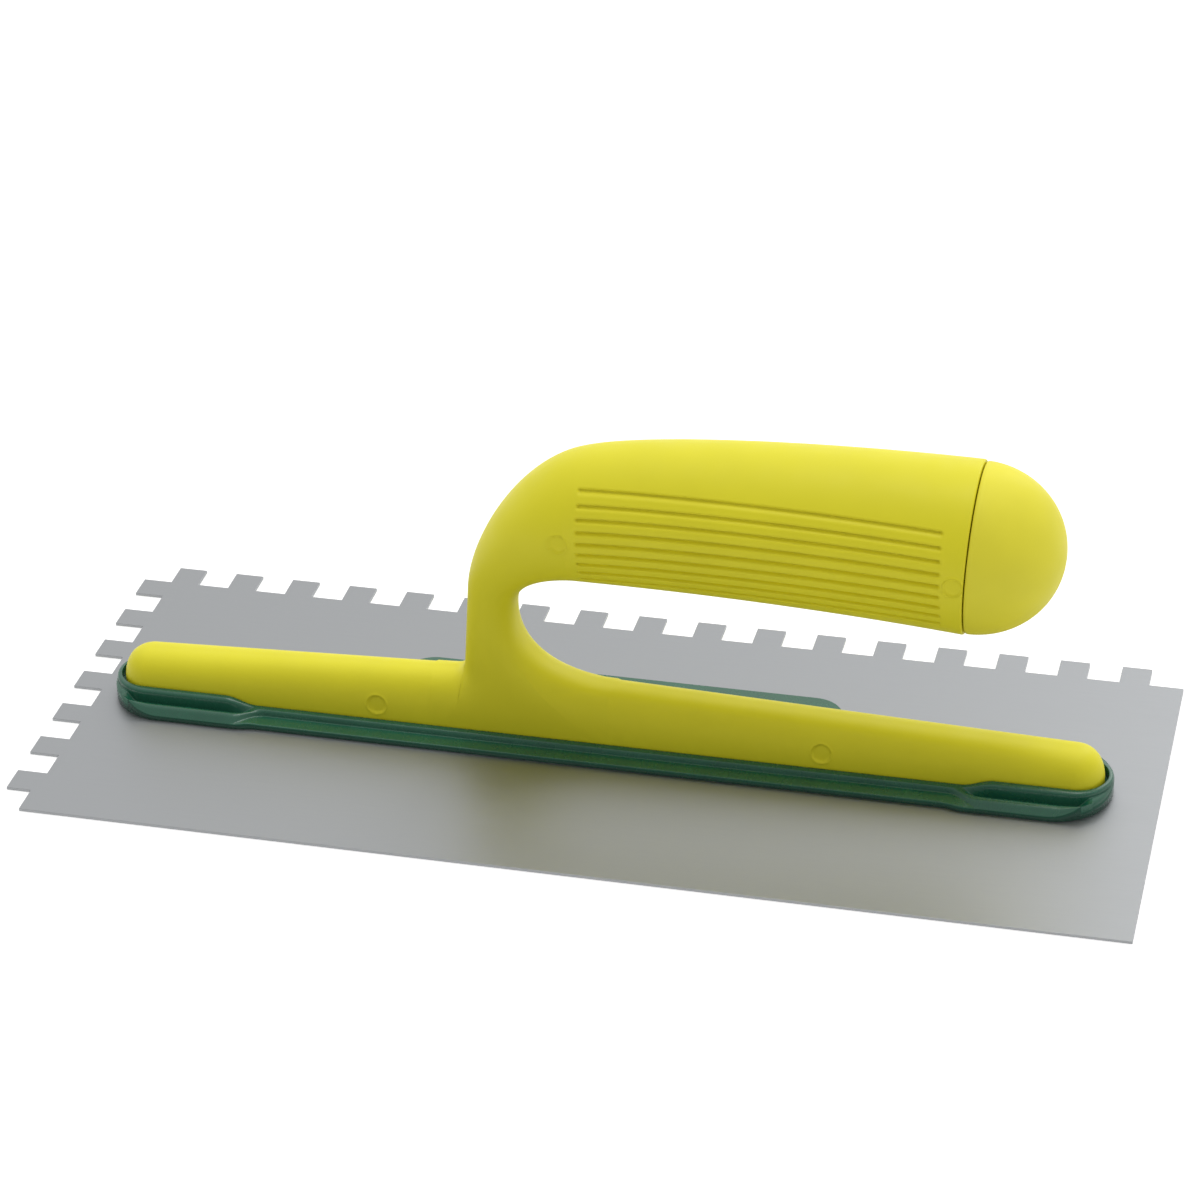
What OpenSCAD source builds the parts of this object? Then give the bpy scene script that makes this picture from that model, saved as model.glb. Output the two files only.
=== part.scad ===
// Notched trowel: a thin stainless blade with square notches on its back and left edges, a moulded
// base riveted to it, and a one-piece moulded handle screwed down into the base's channel, its cored
// grip closed by a dome. Millimetres. The origin is the centre of the blade's underside, +X points
// along the blade to the grip's open end, +Y to the notched long edge and +Z up.

/* [Blade] */
// Length of the blade
blade_l = 280; // [250:5:320]
// Width of the blade
blade_w = 120; // [100:5:150]
// Thickness of the blade's sheet
blade_t = 0.7; // [0.5:0.1:1.2]

/* [Notches] */
// Distance from one tooth to the next
notch_pitch = 16; // [12:0.5:20]
// Width of a tooth, and of the cell left out at the corner
tooth_w = 7.6; // [5:0.1:9]
// Depth of a notch
notch_d = 7.7; // [5:0.1:10]
// Length of the nub that the last notch leaves at the front corner
nub_l = 1.3; // [0.5:0.1:3]

/* [Base] */
// Length of the base
base_l = 257; // [250:0.2:262]
// Distance from the centre line to the base's side near its two ends
base_end_half_w = 14.8; // [13.5:0.1:18]
// Distance from the centre line to the base's front side in the middle
base_mid_half_w = 14; // [12.5:0.1:17]
// Distance from the centre line to the wing's back edge
wing_reach = 27.2; // [24:0.2:34]
// Length of the wing where it leaves the base's back side
wing_l = 124; // [90:1:140]
// Radius of the wing's corners
wing_corner_r = 8; // [5:0.5:9]
// How much shorter the wing gets towards its back edge, at each end
wing_taper = 4.5; // [0:0.5:12]
// Thickness of the base's plate
plate_t = 1.7; // [1.4:0.1:3]
// Thickness of the floor under the foot
floor_t = 2.5; // [2.4:0.1:4]
// Height of the rims beside the end pockets, above the plate
rim_rise = 1.9; // [0.8:0.1:3]
// Height of a rim's upright side above the plate, below the slope
rim_side_rise = 0.2; // [0.1:0.1:0.5]
// Width of the slope that rises from the base's side to a rim
rim_slope_w = 2.3; // [1.5:0.1:2.6]
// Width of a rim's flat top
rim_top_w = 0.9; // [0.6:0.1:1.2]
// Distance from the middle to where the rims start
rim_start = 93; // [85:1:100]
// Length over which the base's front side steps out to its ends
side_step_l = 5; // [3:0.5:8]
// Height of the lip round the foot near its ends, above the blade
lip_end_h = 5.3; // [4.6:0.1:7]
// Height of the lip along the middle of the foot, above the blade
lip_mid_h = 3.2; // [3:0.1:4.2]
// Thickness of the lip
lip_t = 1.8; // [1.2:0.1:2.4]
// Gap between the lip and the foot
lip_gap = 0.3; // [0.2:0.05:0.6]

/* [Foot] */
// Length of the handle's foot
foot_l = 252.4; // [240:0.2:254]
// Width of the handle's foot
foot_w = 15; // [14:0.2:16.4]
// Height of the foot's top near its ends, above the blade
foot_end_h = 12.4; // [11:0.1:15]
// Height of the foot's top at the neck, above the blade
foot_neck_h = 16.5; // [15:0.1:19]
// Height of the foot's top right at its two tips, above the blade
foot_tip_h = 5.6; // [5:0.1:8]
// Thickness of the foot's side walls
foot_wall = 2.5; // [2:0.1:3]
// Thickness of the foot's roof
foot_roof = 4.5; // [3.5:0.1:6]

/* [Neck] */
// Position of the neck's outer side at its foot
neck_x = -35; // [-45:0.2:-25]
// Thickness of the neck along the blade
neck_d = 13.6; // [12:0.2:20]
// Width of the neck across the blade
neck_w = 16; // [14:0.2:20]
// Height where the neck starts to bend into the grip, above the blade
neck_h = 43; // [38:0.5:50]
// How far the neck's outer side leans in on its way up
neck_lean = 2; // [0:0.2:4]
// How much lower the finger gap starts to bend than the neck's outer side
neck_in_drop = 7; // [4:0.5:10]
// Reach of the fillet between the neck and the foot, inside the finger gap
neck_fillet = 19; // [10:0.5:24]

/* [Grip] */
// Position where the bend ends and the grip starts
grip_x0 = -5; // [-12:0.5:5]
// Position of the seam between the grip and its end cap
grip_x1 = 92.4; // [80:0.2:100]
// Height of the grip's underside at its start, above the blade
grip_under_h = 47.6; // [44:0.2:54]
// Height of the grip's section at its start
grip_start_d = 33.6; // [30:0.2:38]
// Height of the grip's section at the seam
grip_end_d = 43; // [38:0.2:48]
// How much lower the underside is at the seam than at its start
grip_drop = 3.2; // [0:0.2:5]
// Angle by which the seam leans over towards the dome
seam_tilt = 2.4; // [0:0.2:4]
// Width of the grip's section as a share of its height
grip_flat = 0.94; // [0.85:0.01:1]
// Wall of the grip at its open end
grip_wall = 4; // [3:0.1:6]
// Depth of the core that hollows the grip
core_l = 92; // [60:1:96]
// Radius of the core at its blind end
core_end_r = 12; // [8:0.5:13]

/* [Grip grooves] */
// Number of grooves on each side of the grip
groove_count = 9; // [3:1:11]
// Distance from one groove to the next
groove_pitch = 3.1; // [2.4:0.1:3.4]
// Width of a groove
groove_w = 1.2; // [0.8:0.1:1.8]
// Depth of a groove
groove_depth = 0.8; // [0.4:0.1:1.2]
// Position of the grooves' ends nearest the neck
groove_x0 = -1.5; // [-4:0.5:10]
// Position of the grooves' ends nearest the seam
groove_x1 = 87; // [60:1:88]

/* [End cap] */
// Length of the dome
dome_l = 22; // [16:0.5:28]
// How far the dome's plug reaches into the grip
plug_l = 13; // [8:0.5:18]
// Wall of the dome's plug
plug_wall = 2; // [1.5:0.1:3]
// Gap between the plug and the core
plug_gap = 0.15; // [0.1:0.05:0.3]

/* [Fasteners] */
// Number of rivets
rivet_count = 7; // [5:2:7]
// Distance from one rivet to the next
rivet_pitch = 36; // [32:1:38]
// Radius of a rivet's shank
rivet_r = 1.6; // [1.2:0.1:2]
// Radius of a rivet's heads
rivet_head_r = 3; // [2.6:0.1:3.4]
// Height of a rivet's upper head
rivet_head_h = 1.5; // [1:0.1:2]
// Distance from the middle to the inner screws
screw_inner_x = 18; // [16:0.5:20]
// Distance from the middle to the outer screws
screw_outer_x = 90; // [88:0.5:92]
// Radius of a screw's shank
screw_r = 2; // [1.5:0.1:2.2]
// Radius of a screw's head
screw_head_r = 3.8; // [3.2:0.1:4.2]
// Height of a screw's head
screw_head_h = 2.3; // [1.8:0.1:2.6]
// Length of a screw
screw_l = 11; // [9:0.5:12]
// Gap between a screw's shank and the base
screw_gap = 0.2; // [0.1:0.05:0.4]
// Length of each slot of a screw's cross recess
recess_l = 4; // [3:0.1:5]
// Width of each slot of a screw's cross recess
recess_w = 0.8; // [0.5:0.1:1]
// Depth of a screw's cross recess
recess_d = 1.2; // [0.8:0.1:1.6]
// Length of the cross wall that holds a screw
boss_l = 9; // [7:0.5:12]

/* [Hidden] */
$fn = 48;
eps = 0.01;
notch_w = notch_pitch - tooth_w;
foot_half_w = foot_w / 2;
floor_z = blade_t + floor_t;
channel_half_w = foot_half_w + lip_gap;
lip_half_w = channel_half_w + lip_t;
rivet_xs = [for (i = [0 : rivet_count - 1]) (i - (rivet_count - 1) / 2) * rivet_pitch];
screw_xs = [-screw_outer_x, -screw_inner_x, screw_inner_x, screw_outer_x];
// The seam's ellipse: its middle's height, and its two half sizes.
seam_a = grip_end_d / 2;
seam_b = seam_a * grip_flat;
seam_z = blade_t + grip_under_h - grip_drop + seam_a;
core_r = seam_b - grip_wall;
plug_r = core_r - plug_gap;
// The foot is highest between neck_x and here, and the neck stands on that stretch.
neck_x1 = neck_x + neck_d + neck_fillet;
// How squarely the sections bulge: 2 is an ellipse, and more is squarer.
foot_bulge = 3;
neck_bulge = 2.4;
bend_bulge = 2.2;
grip_bulge = 2;
// Points round a ring of the neck, grip and dome, points across the foot, and stretches of a groove.
ring_points = 28;
foot_points = 16;
groove_steps = 6;
// Pull of the back's curve where the bend hands over to the grip, along the blade and up.
crown_pull = [15, 5];
// Pulls of the grip's back and belly towards the seam, and of its belly from the bend.
back_pull = [-37, 0.9];
belly_pull = [-32, 2.8];
belly_start_pull = [29, 0.7];

// ---- lofts ----

// Skins a list of rings that all have the same number of points; the first and last are closed flat.
module loft(rings) {
    n = len(rings[0]);
    last = len(rings) - 1;
    sides = [for (i = [0 : last - 1], j = [0 : n - 1]) let (k = (j + 1) % n)
        each [[i * n + j, i * n + k, (i + 1) * n + k], [i * n + j, (i + 1) * n + k, (i + 1) * n + j]]];
    ends = [[for (j = [n - 1 : -1 : 0]) j], [for (j = [0 : n - 1]) last * n + j]];
    polyhedron([for (r = rings) each r], concat(ends, sides));
}

// A point of a rounded oval of half sizes 1 x 1 at angle t; n = 2 is a circle, more is squarer.
function oval(t, n) = [sign(cos(t)) * pow(abs(cos(t)), 2 / n), sign(sin(t)) * pow(abs(sin(t)), 2 / n)];

// A point of a cubic Bezier curve.
function bezier(p, t) = pow(1 - t, 3) * p[0] + 3 * t * pow(1 - t, 2) * p[1]
    + 3 * t * t * (1 - t) * p[2] + pow(t, 3) * p[3];

// A ring whose section spans two points of the side view, [x, z], and is b wide to each side.
function ring(outer, inner, b, n, points = ring_points) =
    let (mid = (outer + inner) / 2, half = (outer - inner) / 2)
    [for (j = [0 : points - 1]) let (p = oval(j * 360 / points, n))
        [mid[0] + half[0] * p[1], -b * p[0], mid[1] + half[1] * p[1]]];

// ---- blade ----

module blade() {
    color("silver") difference() {
        translate([-blade_l / 2, -blade_w / 2, 0]) cube([blade_l, blade_w, blade_t]);
        back_notches();
        left_notches();
        for (x = rivet_xs) translate([x, 0, 0]) rivet_hole();
        for (x = screw_xs) translate([x, 0, 0]) screw_hole(screw_r + screw_gap);
    }
}

module notch(length, width) {
    translate([0, 0, -1]) cube([length, width, blade_t + 2]);
}

// The corner cell, then a notch after each tooth. A last notch that would leave less than half a
// tooth at the right corner runs out there.
module back_notches() {
    translate([-blade_l / 2, blade_w / 2 - notch_d, 0]) {
        translate([-1, 0, 0]) notch(tooth_w + 1, notch_d + 1);
        for (x = [2 * tooth_w : notch_pitch : blade_l]) {
            left_over = blade_l - x - notch_w;
            translate([x, 0, 0]) notch(left_over < tooth_w / 2 ? notch_w + tooth_w : notch_w, notch_d + 1);
        }
    }
}

// A notch after each tooth, from the back corner forward. The last takes the front corner with it,
// but for a nub.
module left_notches() {
    translate([-blade_l / 2 - 1, blade_w / 2, 0]) {
        for (y = [2 * tooth_w : notch_pitch : blade_w - notch_w])
            translate([0, -y - notch_w, 0]) notch(notch_d + 1, notch_w);
        translate([0, -blade_w - 1, 0]) notch(notch_d + 1 - nub_l, notch_w);
    }
}

// ---- base ----

module stadium(length, half_w) {
    square([length - 2 * half_w, 2 * half_w], center = true);
    for (s = [-1, 1]) translate([s * (length / 2 - half_w), 0]) circle(half_w);
}

// The plate's outline: a long round-ended strip, drawn in a little along its front, and the wing.
module base_outline() {
    step = base_end_half_w - base_mid_half_w;
    difference() {
        base_strip(0);
        translate([0, -base_end_half_w]) polygon([[-rim_start, -eps], [side_step_l - rim_start, step],
            [rim_start - side_step_l, step], [rim_start, -eps]]);
    }
    wing_outline();
}

// The round-ended strip, made smaller all round by an inset.
module base_strip(inset) {
    stadium(base_l - 2 * inset, base_end_half_w - inset);
}

module wing_outline() {
    corner_x = wing_l / 2 - wing_taper - wing_corner_r;
    hull() {
        for (s = [-1, 1]) translate([s * corner_x, wing_reach - wing_corner_r]) circle(wing_corner_r);
        translate([0, base_end_half_w - 1]) square([wing_l, 1], center = true);
    }
}

// Two squares that keep only the two ends of a shape.
module ends_only() {
    for (s = [-1, 1]) translate([s * (rim_start + base_l / 4), 0])
        square([base_l / 2, 3 * wing_reach], center = true);
}

// The channel that the foot stands in.
module channel(half_w) {
    stadium(foot_l + 2 * (half_w - foot_half_w), half_w);
}

// The raised ends: straight sides that slope up to a rim, and a pocket between the rim and the lip.
module end_rims() {
    rim_h = plate_t + rim_rise;
    top_half = base_end_half_w - rim_slope_w;
    side_h = plate_t + rim_side_rise;
    // Where the slope would meet the blade if it ran on down through the side.
    low_half = base_end_half_w + rim_slope_w * side_h / (rim_h - side_h);
    difference() {
        intersection() {
            linear_extrude(rim_h + 1) intersection() {
                base_strip(0);
                ends_only();
            }
            // It stops halfway along the rounded tips, where it has run into the lip.
            rotate([90, 0, 90]) linear_extrude(base_l - base_end_half_w, center = true)
                polygon([[-low_half, 0], [-top_half, rim_h], [top_half, rim_h], [low_half, 0]]);
        }
        translate([0, 0, plate_t]) linear_extrude(rim_h) difference() {
            base_strip(rim_slope_w + rim_top_w);
            channel(lip_half_w);
        }
    }
}

module base() {
    color("darkgreen") difference() {
        union() {
            translate([0, 0, blade_t]) linear_extrude(plate_t) base_outline();
            translate([0, 0, blade_t]) linear_extrude(lip_mid_h) channel(lip_half_w);
            translate([0, 0, blade_t]) linear_extrude(lip_end_h) intersection() {
                channel(lip_half_w);
                ends_only();
            }
            translate([0, 0, blade_t]) end_rims();
        }
        translate([0, 0, floor_z]) linear_extrude(lip_end_h + lip_mid_h) channel(channel_half_w);
        for (x = rivet_xs) translate([x, 0, 0]) rivet_hole();
        for (x = screw_xs) translate([x, 0, 0]) screw_hole(screw_r + screw_gap);
    }
}

// ---- handle ----

// The foot's height at x: it falls from the neck to the ends, and rounds off over the last stretch.
function foot_slope(x) =
    let (from_neck = x < neck_x ? (neck_x - x) / (foot_l / 2 + neck_x)
        : x > neck_x1 ? (x - neck_x1) / (foot_l / 2 - neck_x1) : 0)
    foot_neck_h + (foot_end_h - foot_neck_h) * from_neck;

// How round the end is at x: 0 at the tip and 1 once clear of it.
function foot_round(x) =
    let (in_tip = max(0, abs(x) - (foot_l / 2 - foot_half_w)) / foot_half_w)
    sqrt(max(0, 1 - in_tip * in_tip));

function foot_top(x) = blade_t + foot_tip_h + (foot_slope(x) - foot_tip_h) * foot_round(x);

function foot_ring(x, points = foot_points) =
    let (b = foot_half_w * foot_round(x), h = foot_top(x) - floor_z)
    [for (j = [0 : points]) let (p = oval(j * 180 / points, foot_bulge)) [x, -b * p[0], floor_z + h * p[1]]];

module foot() {
    straight = foot_l / 2 - foot_half_w;
    tip = [for (a = [0 : 16 : 80]) straight + foot_half_w * sin(a)];
    near_tip = [for (i = [len(tip) - 1 : -1 : 0]) -tip[i]];
    loft([for (x = concat(near_tip, [neck_x, neck_x1], tip)) foot_ring(x)]);
}

module handle() {
    color("yellow") difference() {
        union() {
            foot();
            neck_and_grip();
        }
        foot_hollow();
        grip_core();
        for (side = [0, 1]) mirror([0, side, 0]) grooves();
        for (x = screw_xs) translate([x, 0, 0]) cylinder(r = screw_r, h = screw_l);
    }
}

// The neck rises from the foot, bends over and runs out as the grip. Both of its outlines are curves
// of the side view, and each ring spans from one to the other.
module neck_and_grip() {
    neck_foot = [neck_x, blade_t + foot_neck_h];
    neck_out = [neck_x + neck_lean, blade_t + neck_h];
    neck_in = [neck_x + neck_d, neck_out[1] - neck_in_drop];
    top0 = grip_start(grip_start_d);
    low0 = grip_start(0);
    sink = [neck_x1, floor_z + foot_end_h / 3];
    fillet = [sink, [neck_x1 - neck_fillet / 2, neck_foot[1]], neck_in - [0, 2 * neck_fillet / 3], neck_in];
    bend_out = [neck_out, neck_out + (neck_out - neck_foot) / 2, top0 - crown_pull, top0];
    bend_mid = (neck_in + low0) / 2;
    bend_in = [neck_in, [neck_in[0], bend_mid[1]], [bend_mid[0], low0[1]], low0];
    root = [for (t = [0 : 0.125 : 1]) let (inner = bezier(fillet, t))
        ring(neck_side(inner[1]), inner, neck_half_w(0), neck_bulge)];
    bend = [for (t = [0.1 : 0.1 : 0.9])
        ring(bezier(bend_out, t), bezier(bend_in, t), neck_half_w(t), bend_bulge)];
    grip = [for (t = [0 : 0.0625 : 1])
        ring(grip_back(t), grip_belly(t), grip_flat * grip_half(t), grip_bulge)];
    loft(concat(root, bend, grip));
}

// The point of the neck's straight outer side at height z.
function neck_side(z) = [neck_x + neck_lean * (z - blade_t - foot_neck_h) / (neck_h - foot_neck_h), z];

// The point of the grip's start that lies d above its underside, in the side view.
function grip_start(d) = [grip_x0, blade_t + grip_under_h + d];

// The point of the seam's leaning plane that lies d above its middle, in the side view.
function seam_point(d) = [grip_x1 + d * sin(seam_tilt), seam_z + d * cos(seam_tilt)];

// The grip's back and belly in the side view, from the bend at t = 0 to the seam at t = 1.
function grip_back(t) = bezier([grip_start(grip_start_d), grip_start(grip_start_d) + crown_pull,
    seam_point(seam_a) + back_pull, seam_point(seam_a)], t);
function grip_belly(t) = bezier([grip_start(0), grip_start(0) + belly_start_pull,
    seam_point(-seam_a) + belly_pull, seam_point(-seam_a)], t);
function grip_middle(t) = (grip_back(t) + grip_belly(t)) / 2;
function grip_half(t) = norm(grip_back(t) - grip_belly(t)) / 2;

// The t at which the grip's middle passes x, found by halving the stretch from low to high.
function grip_t(x, low = 0, high = 1, halvings = 12) =
    let (t = (low + high) / 2)
    halvings == 0 ? t
    : grip_middle(t)[0] < x ? grip_t(x, t, high, halvings - 1)
    : grip_t(x, low, t, halvings - 1);

// Half the neck's width: it keeps to the foot's width below, and swells through the bend.
function neck_half_w(t) = neck_w / 2 + (grip_flat * grip_start_d / 2 - neck_w / 2) * (3 - 2 * t) * t * t;

// The hollow under the foot, left solid where a screw bites.
module foot_hollow() {
    half = foot_l / 2 - foot_half_w;
    difference() {
        rotate([90, 0, 0]) linear_extrude(2 * (foot_half_w - foot_wall), center = true) polygon([
            [-half, floor_z - 1], [-half, blade_t + foot_end_h - foot_roof],
            [neck_x, blade_t + foot_neck_h - foot_roof], [neck_x1, blade_t + foot_neck_h - foot_roof],
            [half, blade_t + foot_end_h - foot_roof], [half, floor_z - 1]]);
        for (x = screw_xs) translate([x - boss_l / 2, -foot_half_w, 0]) cube([boss_l, foot_w, foot_neck_h]);
    }
}

// Puts what is drawn along Z, from the seam into the grip, in its place at the leaning seam.
module into_grip() {
    translate([grip_x1, 0, seam_z]) rotate([0, seam_tilt - 90, 0]) children();
}

// A bore for the plug, and then a taper that runs level to a blind end.
module grip_core() {
    into_grip() translate([0, 0, -1]) cylinder(r = core_r, h = plug_l + 2);
    translate([grip_x1 - plug_l * cos(seam_tilt), 0, seam_z + plug_l * sin(seam_tilt)])
        rotate([0, -90, 0]) cylinder(r1 = plug_r, r2 = core_end_r, h = core_l - plug_l);
}

// Grooves of even pitch in the grip's front side, which follow its middle line.
module grooves() {
    for (i = [0 : groove_count - 1]) groove((i - (groove_count - 1) / 2) * groove_pitch);
}

// A bar that runs along the swelling side, sunk into it by the groove's depth.
module groove(dz) {
    t0 = grip_t(groove_x0);
    t1 = grip_t(groove_x1);
    loft([for (i = [0 : groove_steps]) groove_ring(t0 + (t1 - t0) * i / groove_steps, dz)]);
}

function groove_ring(t, dz) =
    let (mid = grip_middle(t), y = grip_flat * sqrt(pow(grip_half(t), 2) - dz * dz),
        low = mid[1] + dz - groove_w / 2, high = mid[1] + dz + groove_w / 2)
    [[mid[0], -y - groove_w, low], [mid[0], -y - groove_w, high],
        [mid[0], groove_depth - y, high], [mid[0], groove_depth - y, low]];

// ---- end cap ----

module end_cap() {
    color("gold") difference() {
        union() {
            dome();
            into_grip() translate([0, 0, -eps]) cylinder(r = plug_r, h = plug_l);
        }
        into_grip() translate([0, 0, -dome_l / 3]) cylinder(r = plug_r - plug_wall, h = plug_l + dome_l);
    }
}

module dome() {
    loft([for (a = [0 : 9 : 81]) dome_ring(dome_l * sin(a), cos(a))]);
}

// A ring of the dome, square to its axis at a distance from the seam.
function dome_ring(out, share) =
    let (step = out * [cos(seam_tilt), -sin(seam_tilt)])
    ring(seam_point(seam_a * share) + step, seam_point(-seam_a * share) + step, seam_b * share, grip_bulge);

// ---- fasteners ----

// A rivet's flush head in the blade, its shank, and its round head set on the base's floor.
module rivet_hole() {
    translate([0, 0, -eps]) cylinder(r1 = rivet_head_r, r2 = rivet_r, h = blade_t + eps);
    cylinder(r = rivet_r, h = floor_z + 1);
}

module blade_rivets() {
    color("lightgray") for (x = rivet_xs) translate([x, 0, 0]) {
        cylinder(r1 = rivet_head_r, r2 = rivet_r, h = blade_t);
        cylinder(r = rivet_r, h = floor_z + rivet_head_h / 2);
        translate([0, 0, floor_z]) rotate_extrude() intersection() {
            head_circle();
            square([rivet_head_r, rivet_head_h]);
        }
    }
}

// The circle whose cap is the round head.
module head_circle() {
    r = (pow(rivet_head_r, 2) + pow(rivet_head_h, 2)) / (2 * rivet_head_h);
    translate([0, rivet_head_h - r]) circle(r);
}

// A screw's countersunk seat through blade and base, and the clearance hole for its shank.
module screw_hole(hole_r) {
    translate([0, 0, -eps]) cylinder(r1 = screw_head_r, r2 = screw_r, h = screw_head_h + eps);
    cylinder(r = hole_r, h = floor_z + 1);
}

module handle_screws() {
    color("gray") for (x = screw_xs) translate([x, 0, 0]) difference() {
        union() {
            cylinder(r1 = screw_head_r, r2 = screw_r, h = screw_head_h);
            cylinder(r = screw_r, h = screw_l);
        }
        for (a = [0, 90]) rotate([0, 0, a])
            translate([-recess_l / 2, -recess_w / 2, -1]) cube([recess_l, recess_w, recess_d + 1]);
    }
}

blade();
base();
handle();
end_cap();
blade_rivets();
handle_screws();
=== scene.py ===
"""Notched trowel: the finished pieces, their materials and the stage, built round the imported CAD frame."""

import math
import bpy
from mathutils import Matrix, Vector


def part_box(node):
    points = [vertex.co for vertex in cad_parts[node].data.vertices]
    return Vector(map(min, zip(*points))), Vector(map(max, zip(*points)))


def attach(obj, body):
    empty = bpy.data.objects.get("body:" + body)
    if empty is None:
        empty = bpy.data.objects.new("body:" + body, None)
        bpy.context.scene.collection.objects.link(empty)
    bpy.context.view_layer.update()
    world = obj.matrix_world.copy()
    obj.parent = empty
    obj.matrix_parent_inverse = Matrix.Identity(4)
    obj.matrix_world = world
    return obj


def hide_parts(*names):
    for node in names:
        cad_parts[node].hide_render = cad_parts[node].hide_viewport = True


bl_info = {
    "name": "Notched Trowel",
    "version": (1, 0, 0),
    "blender": (4, 5, 0),
    "location": "View3D > Sidebar > Trowel",
    "description": "Builds the blade, base, handle, end cap and fasteners of a notched trowel",
    "category": "Object",
}

import bmesh
import bpy
import numpy as np
from bpy.props import FloatProperty, FloatVectorProperty, IntProperty, PointerProperty
from mathutils import Matrix, Vector

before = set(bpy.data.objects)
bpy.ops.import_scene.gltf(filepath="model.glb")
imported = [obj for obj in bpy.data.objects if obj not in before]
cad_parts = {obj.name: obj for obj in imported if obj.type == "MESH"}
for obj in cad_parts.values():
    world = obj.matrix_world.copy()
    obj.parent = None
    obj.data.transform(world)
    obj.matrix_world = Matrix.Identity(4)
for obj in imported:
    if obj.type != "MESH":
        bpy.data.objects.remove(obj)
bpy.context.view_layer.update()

MM = 0.001
BODY = "root"

# Corners of the CAD nodes that the finished pieces are built on.
BLADE_LOW, BLADE_HIGH = (np.array(corner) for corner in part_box("blade"))
BASE_LOW, BASE_HIGH = (np.array(corner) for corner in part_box("base"))
HANDLE_LOW, HANDLE_HIGH = (np.array(corner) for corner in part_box("handle"))
CAP_LOW, CAP_HIGH = (np.array(corner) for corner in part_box("end_cap"))
BLADE_TOP = BLADE_HIGH[2]

# Half the width of the handle's foot, round which the base's lip runs.
FOOT_HALF = 7.5 * MM


# ---- properties ----


def linear(code):
    """An sRGB hex colour as linear red, green and blue."""
    parts = [int(code[i:i + 2], 16) / 255 for i in (1, 3, 5)]
    return tuple(c / 12.92 if c <= 0.04045 else ((c + 0.055) / 1.055) ** 2.4 for c in parts)


def length(name, millimetres, text):
    """A length whose default is given in millimetres."""
    return FloatProperty(name=name, description=text, default=millimetres * MM, precision=5,
                         unit="LENGTH", subtype="DISTANCE")


def angle(name, degrees, text):
    """An angle whose default is given in degrees."""
    return FloatProperty(name=name, description=text, default=math.radians(degrees), unit="ROTATION",
                         subtype="ANGLE")


def share(name, value, text):
    """A plain number from 0 upwards."""
    return FloatProperty(name=name, description=text, default=value, min=0.0)


def colour(name, code, text):
    """A colour whose default is an sRGB hex value."""
    return FloatVectorProperty(name=name, description=text, default=linear(code), size=3,
                               min=0.0, max=1.0, subtype="COLOR")


class BladeSizes(bpy.types.PropertyGroup):
    pitch: length("Notch pitch", 16, "Distance from one tooth to the next")
    tooth: length("Tooth width", 7.6, "Width of a tooth, and of the cell left out at the corner")
    depth: length("Notch depth", 7.7, "Depth of a notch")
    nub: length("Nub", 1.3, "Length of the nub that the last notch leaves at the front corner")
    bevel: length("Edge", 0.08, "Width of the sheet's broken edge")


class BaseSizes(bpy.types.PropertyGroup):
    end_inset: length("End inset", 0.2, "How far the ends stay inside the CAD node's")
    middle_reach: length("Middle reach", 13.9, "From the centre line to the front side, in the middle")
    step_start: length("Step start", 87.4, "From the middle to where the front side starts to step out")
    step_end: length("Step end", 93.4, "From the middle to where the front side has stepped out")
    middle_wall: length("Side wall in the middle", 1.5, "Height of the upright side in the middle")
    end_wall: length("Side wall at the ends", 1.3, "Height of the upright side at the ends")
    ridge_h: length("Ridge height", 3.65, "Height of the ridge above the blade")
    ridge_reach: length("Ridge reach", 12.3, "From the centre line to the ridge")
    ridge_back: length("Ridge back", 1.9, "Width of the ridge's inner slope, down to the pocket")
    ridge_start: length("Ridge start", 87.5, "From the middle to where the ridge leaves the lip")
    ridge_swing: length("Ridge swing", 8, "Length over which the ridge swings out to the side")
    ridge_shift: length("Ridge shift", 1.5, "How far the starts of both ridges are moved to the right")
    pocket_start: length("Pocket start", 90, "From the middle to where the pocket's floor starts to fall")
    pocket_run: length("Pocket run", 4.5, "Length over which the pocket's floor falls")
    lip_start: length("Lip rise", 90.5, "From the middle to where the lip starts to rise")
    plate: length("Plate", 1.7, "Thickness of the plate, which is also the pocket's floor")
    lip_end: length("Lip at the ends", 5.35, "Height of the lip near the ends")
    lip_middle: length("Lip in the middle", 3.3, "Height of the lip in the middle")
    lip_t: length("Lip thickness", 1.8, "Thickness of the lip along the foot")
    lip_tip_t: length("Lip thickness at the tips", 1.25, "Thickness of the lip round the foot's tips")
    gap: length("Gap", 0.3, "Gap between the lip and the foot")
    floor: length("Floor", 2.5, "Thickness of the floor under the foot")
    wing_half: length("Wing", 62, "Half the wing's length where it leaves the side")
    wing_taper: length("Wing taper", 4.5, "How much shorter each half gets towards the wing's edge")
    wing_corner: length("Wing corner", 8, "Radius of the wing's corners")


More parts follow.
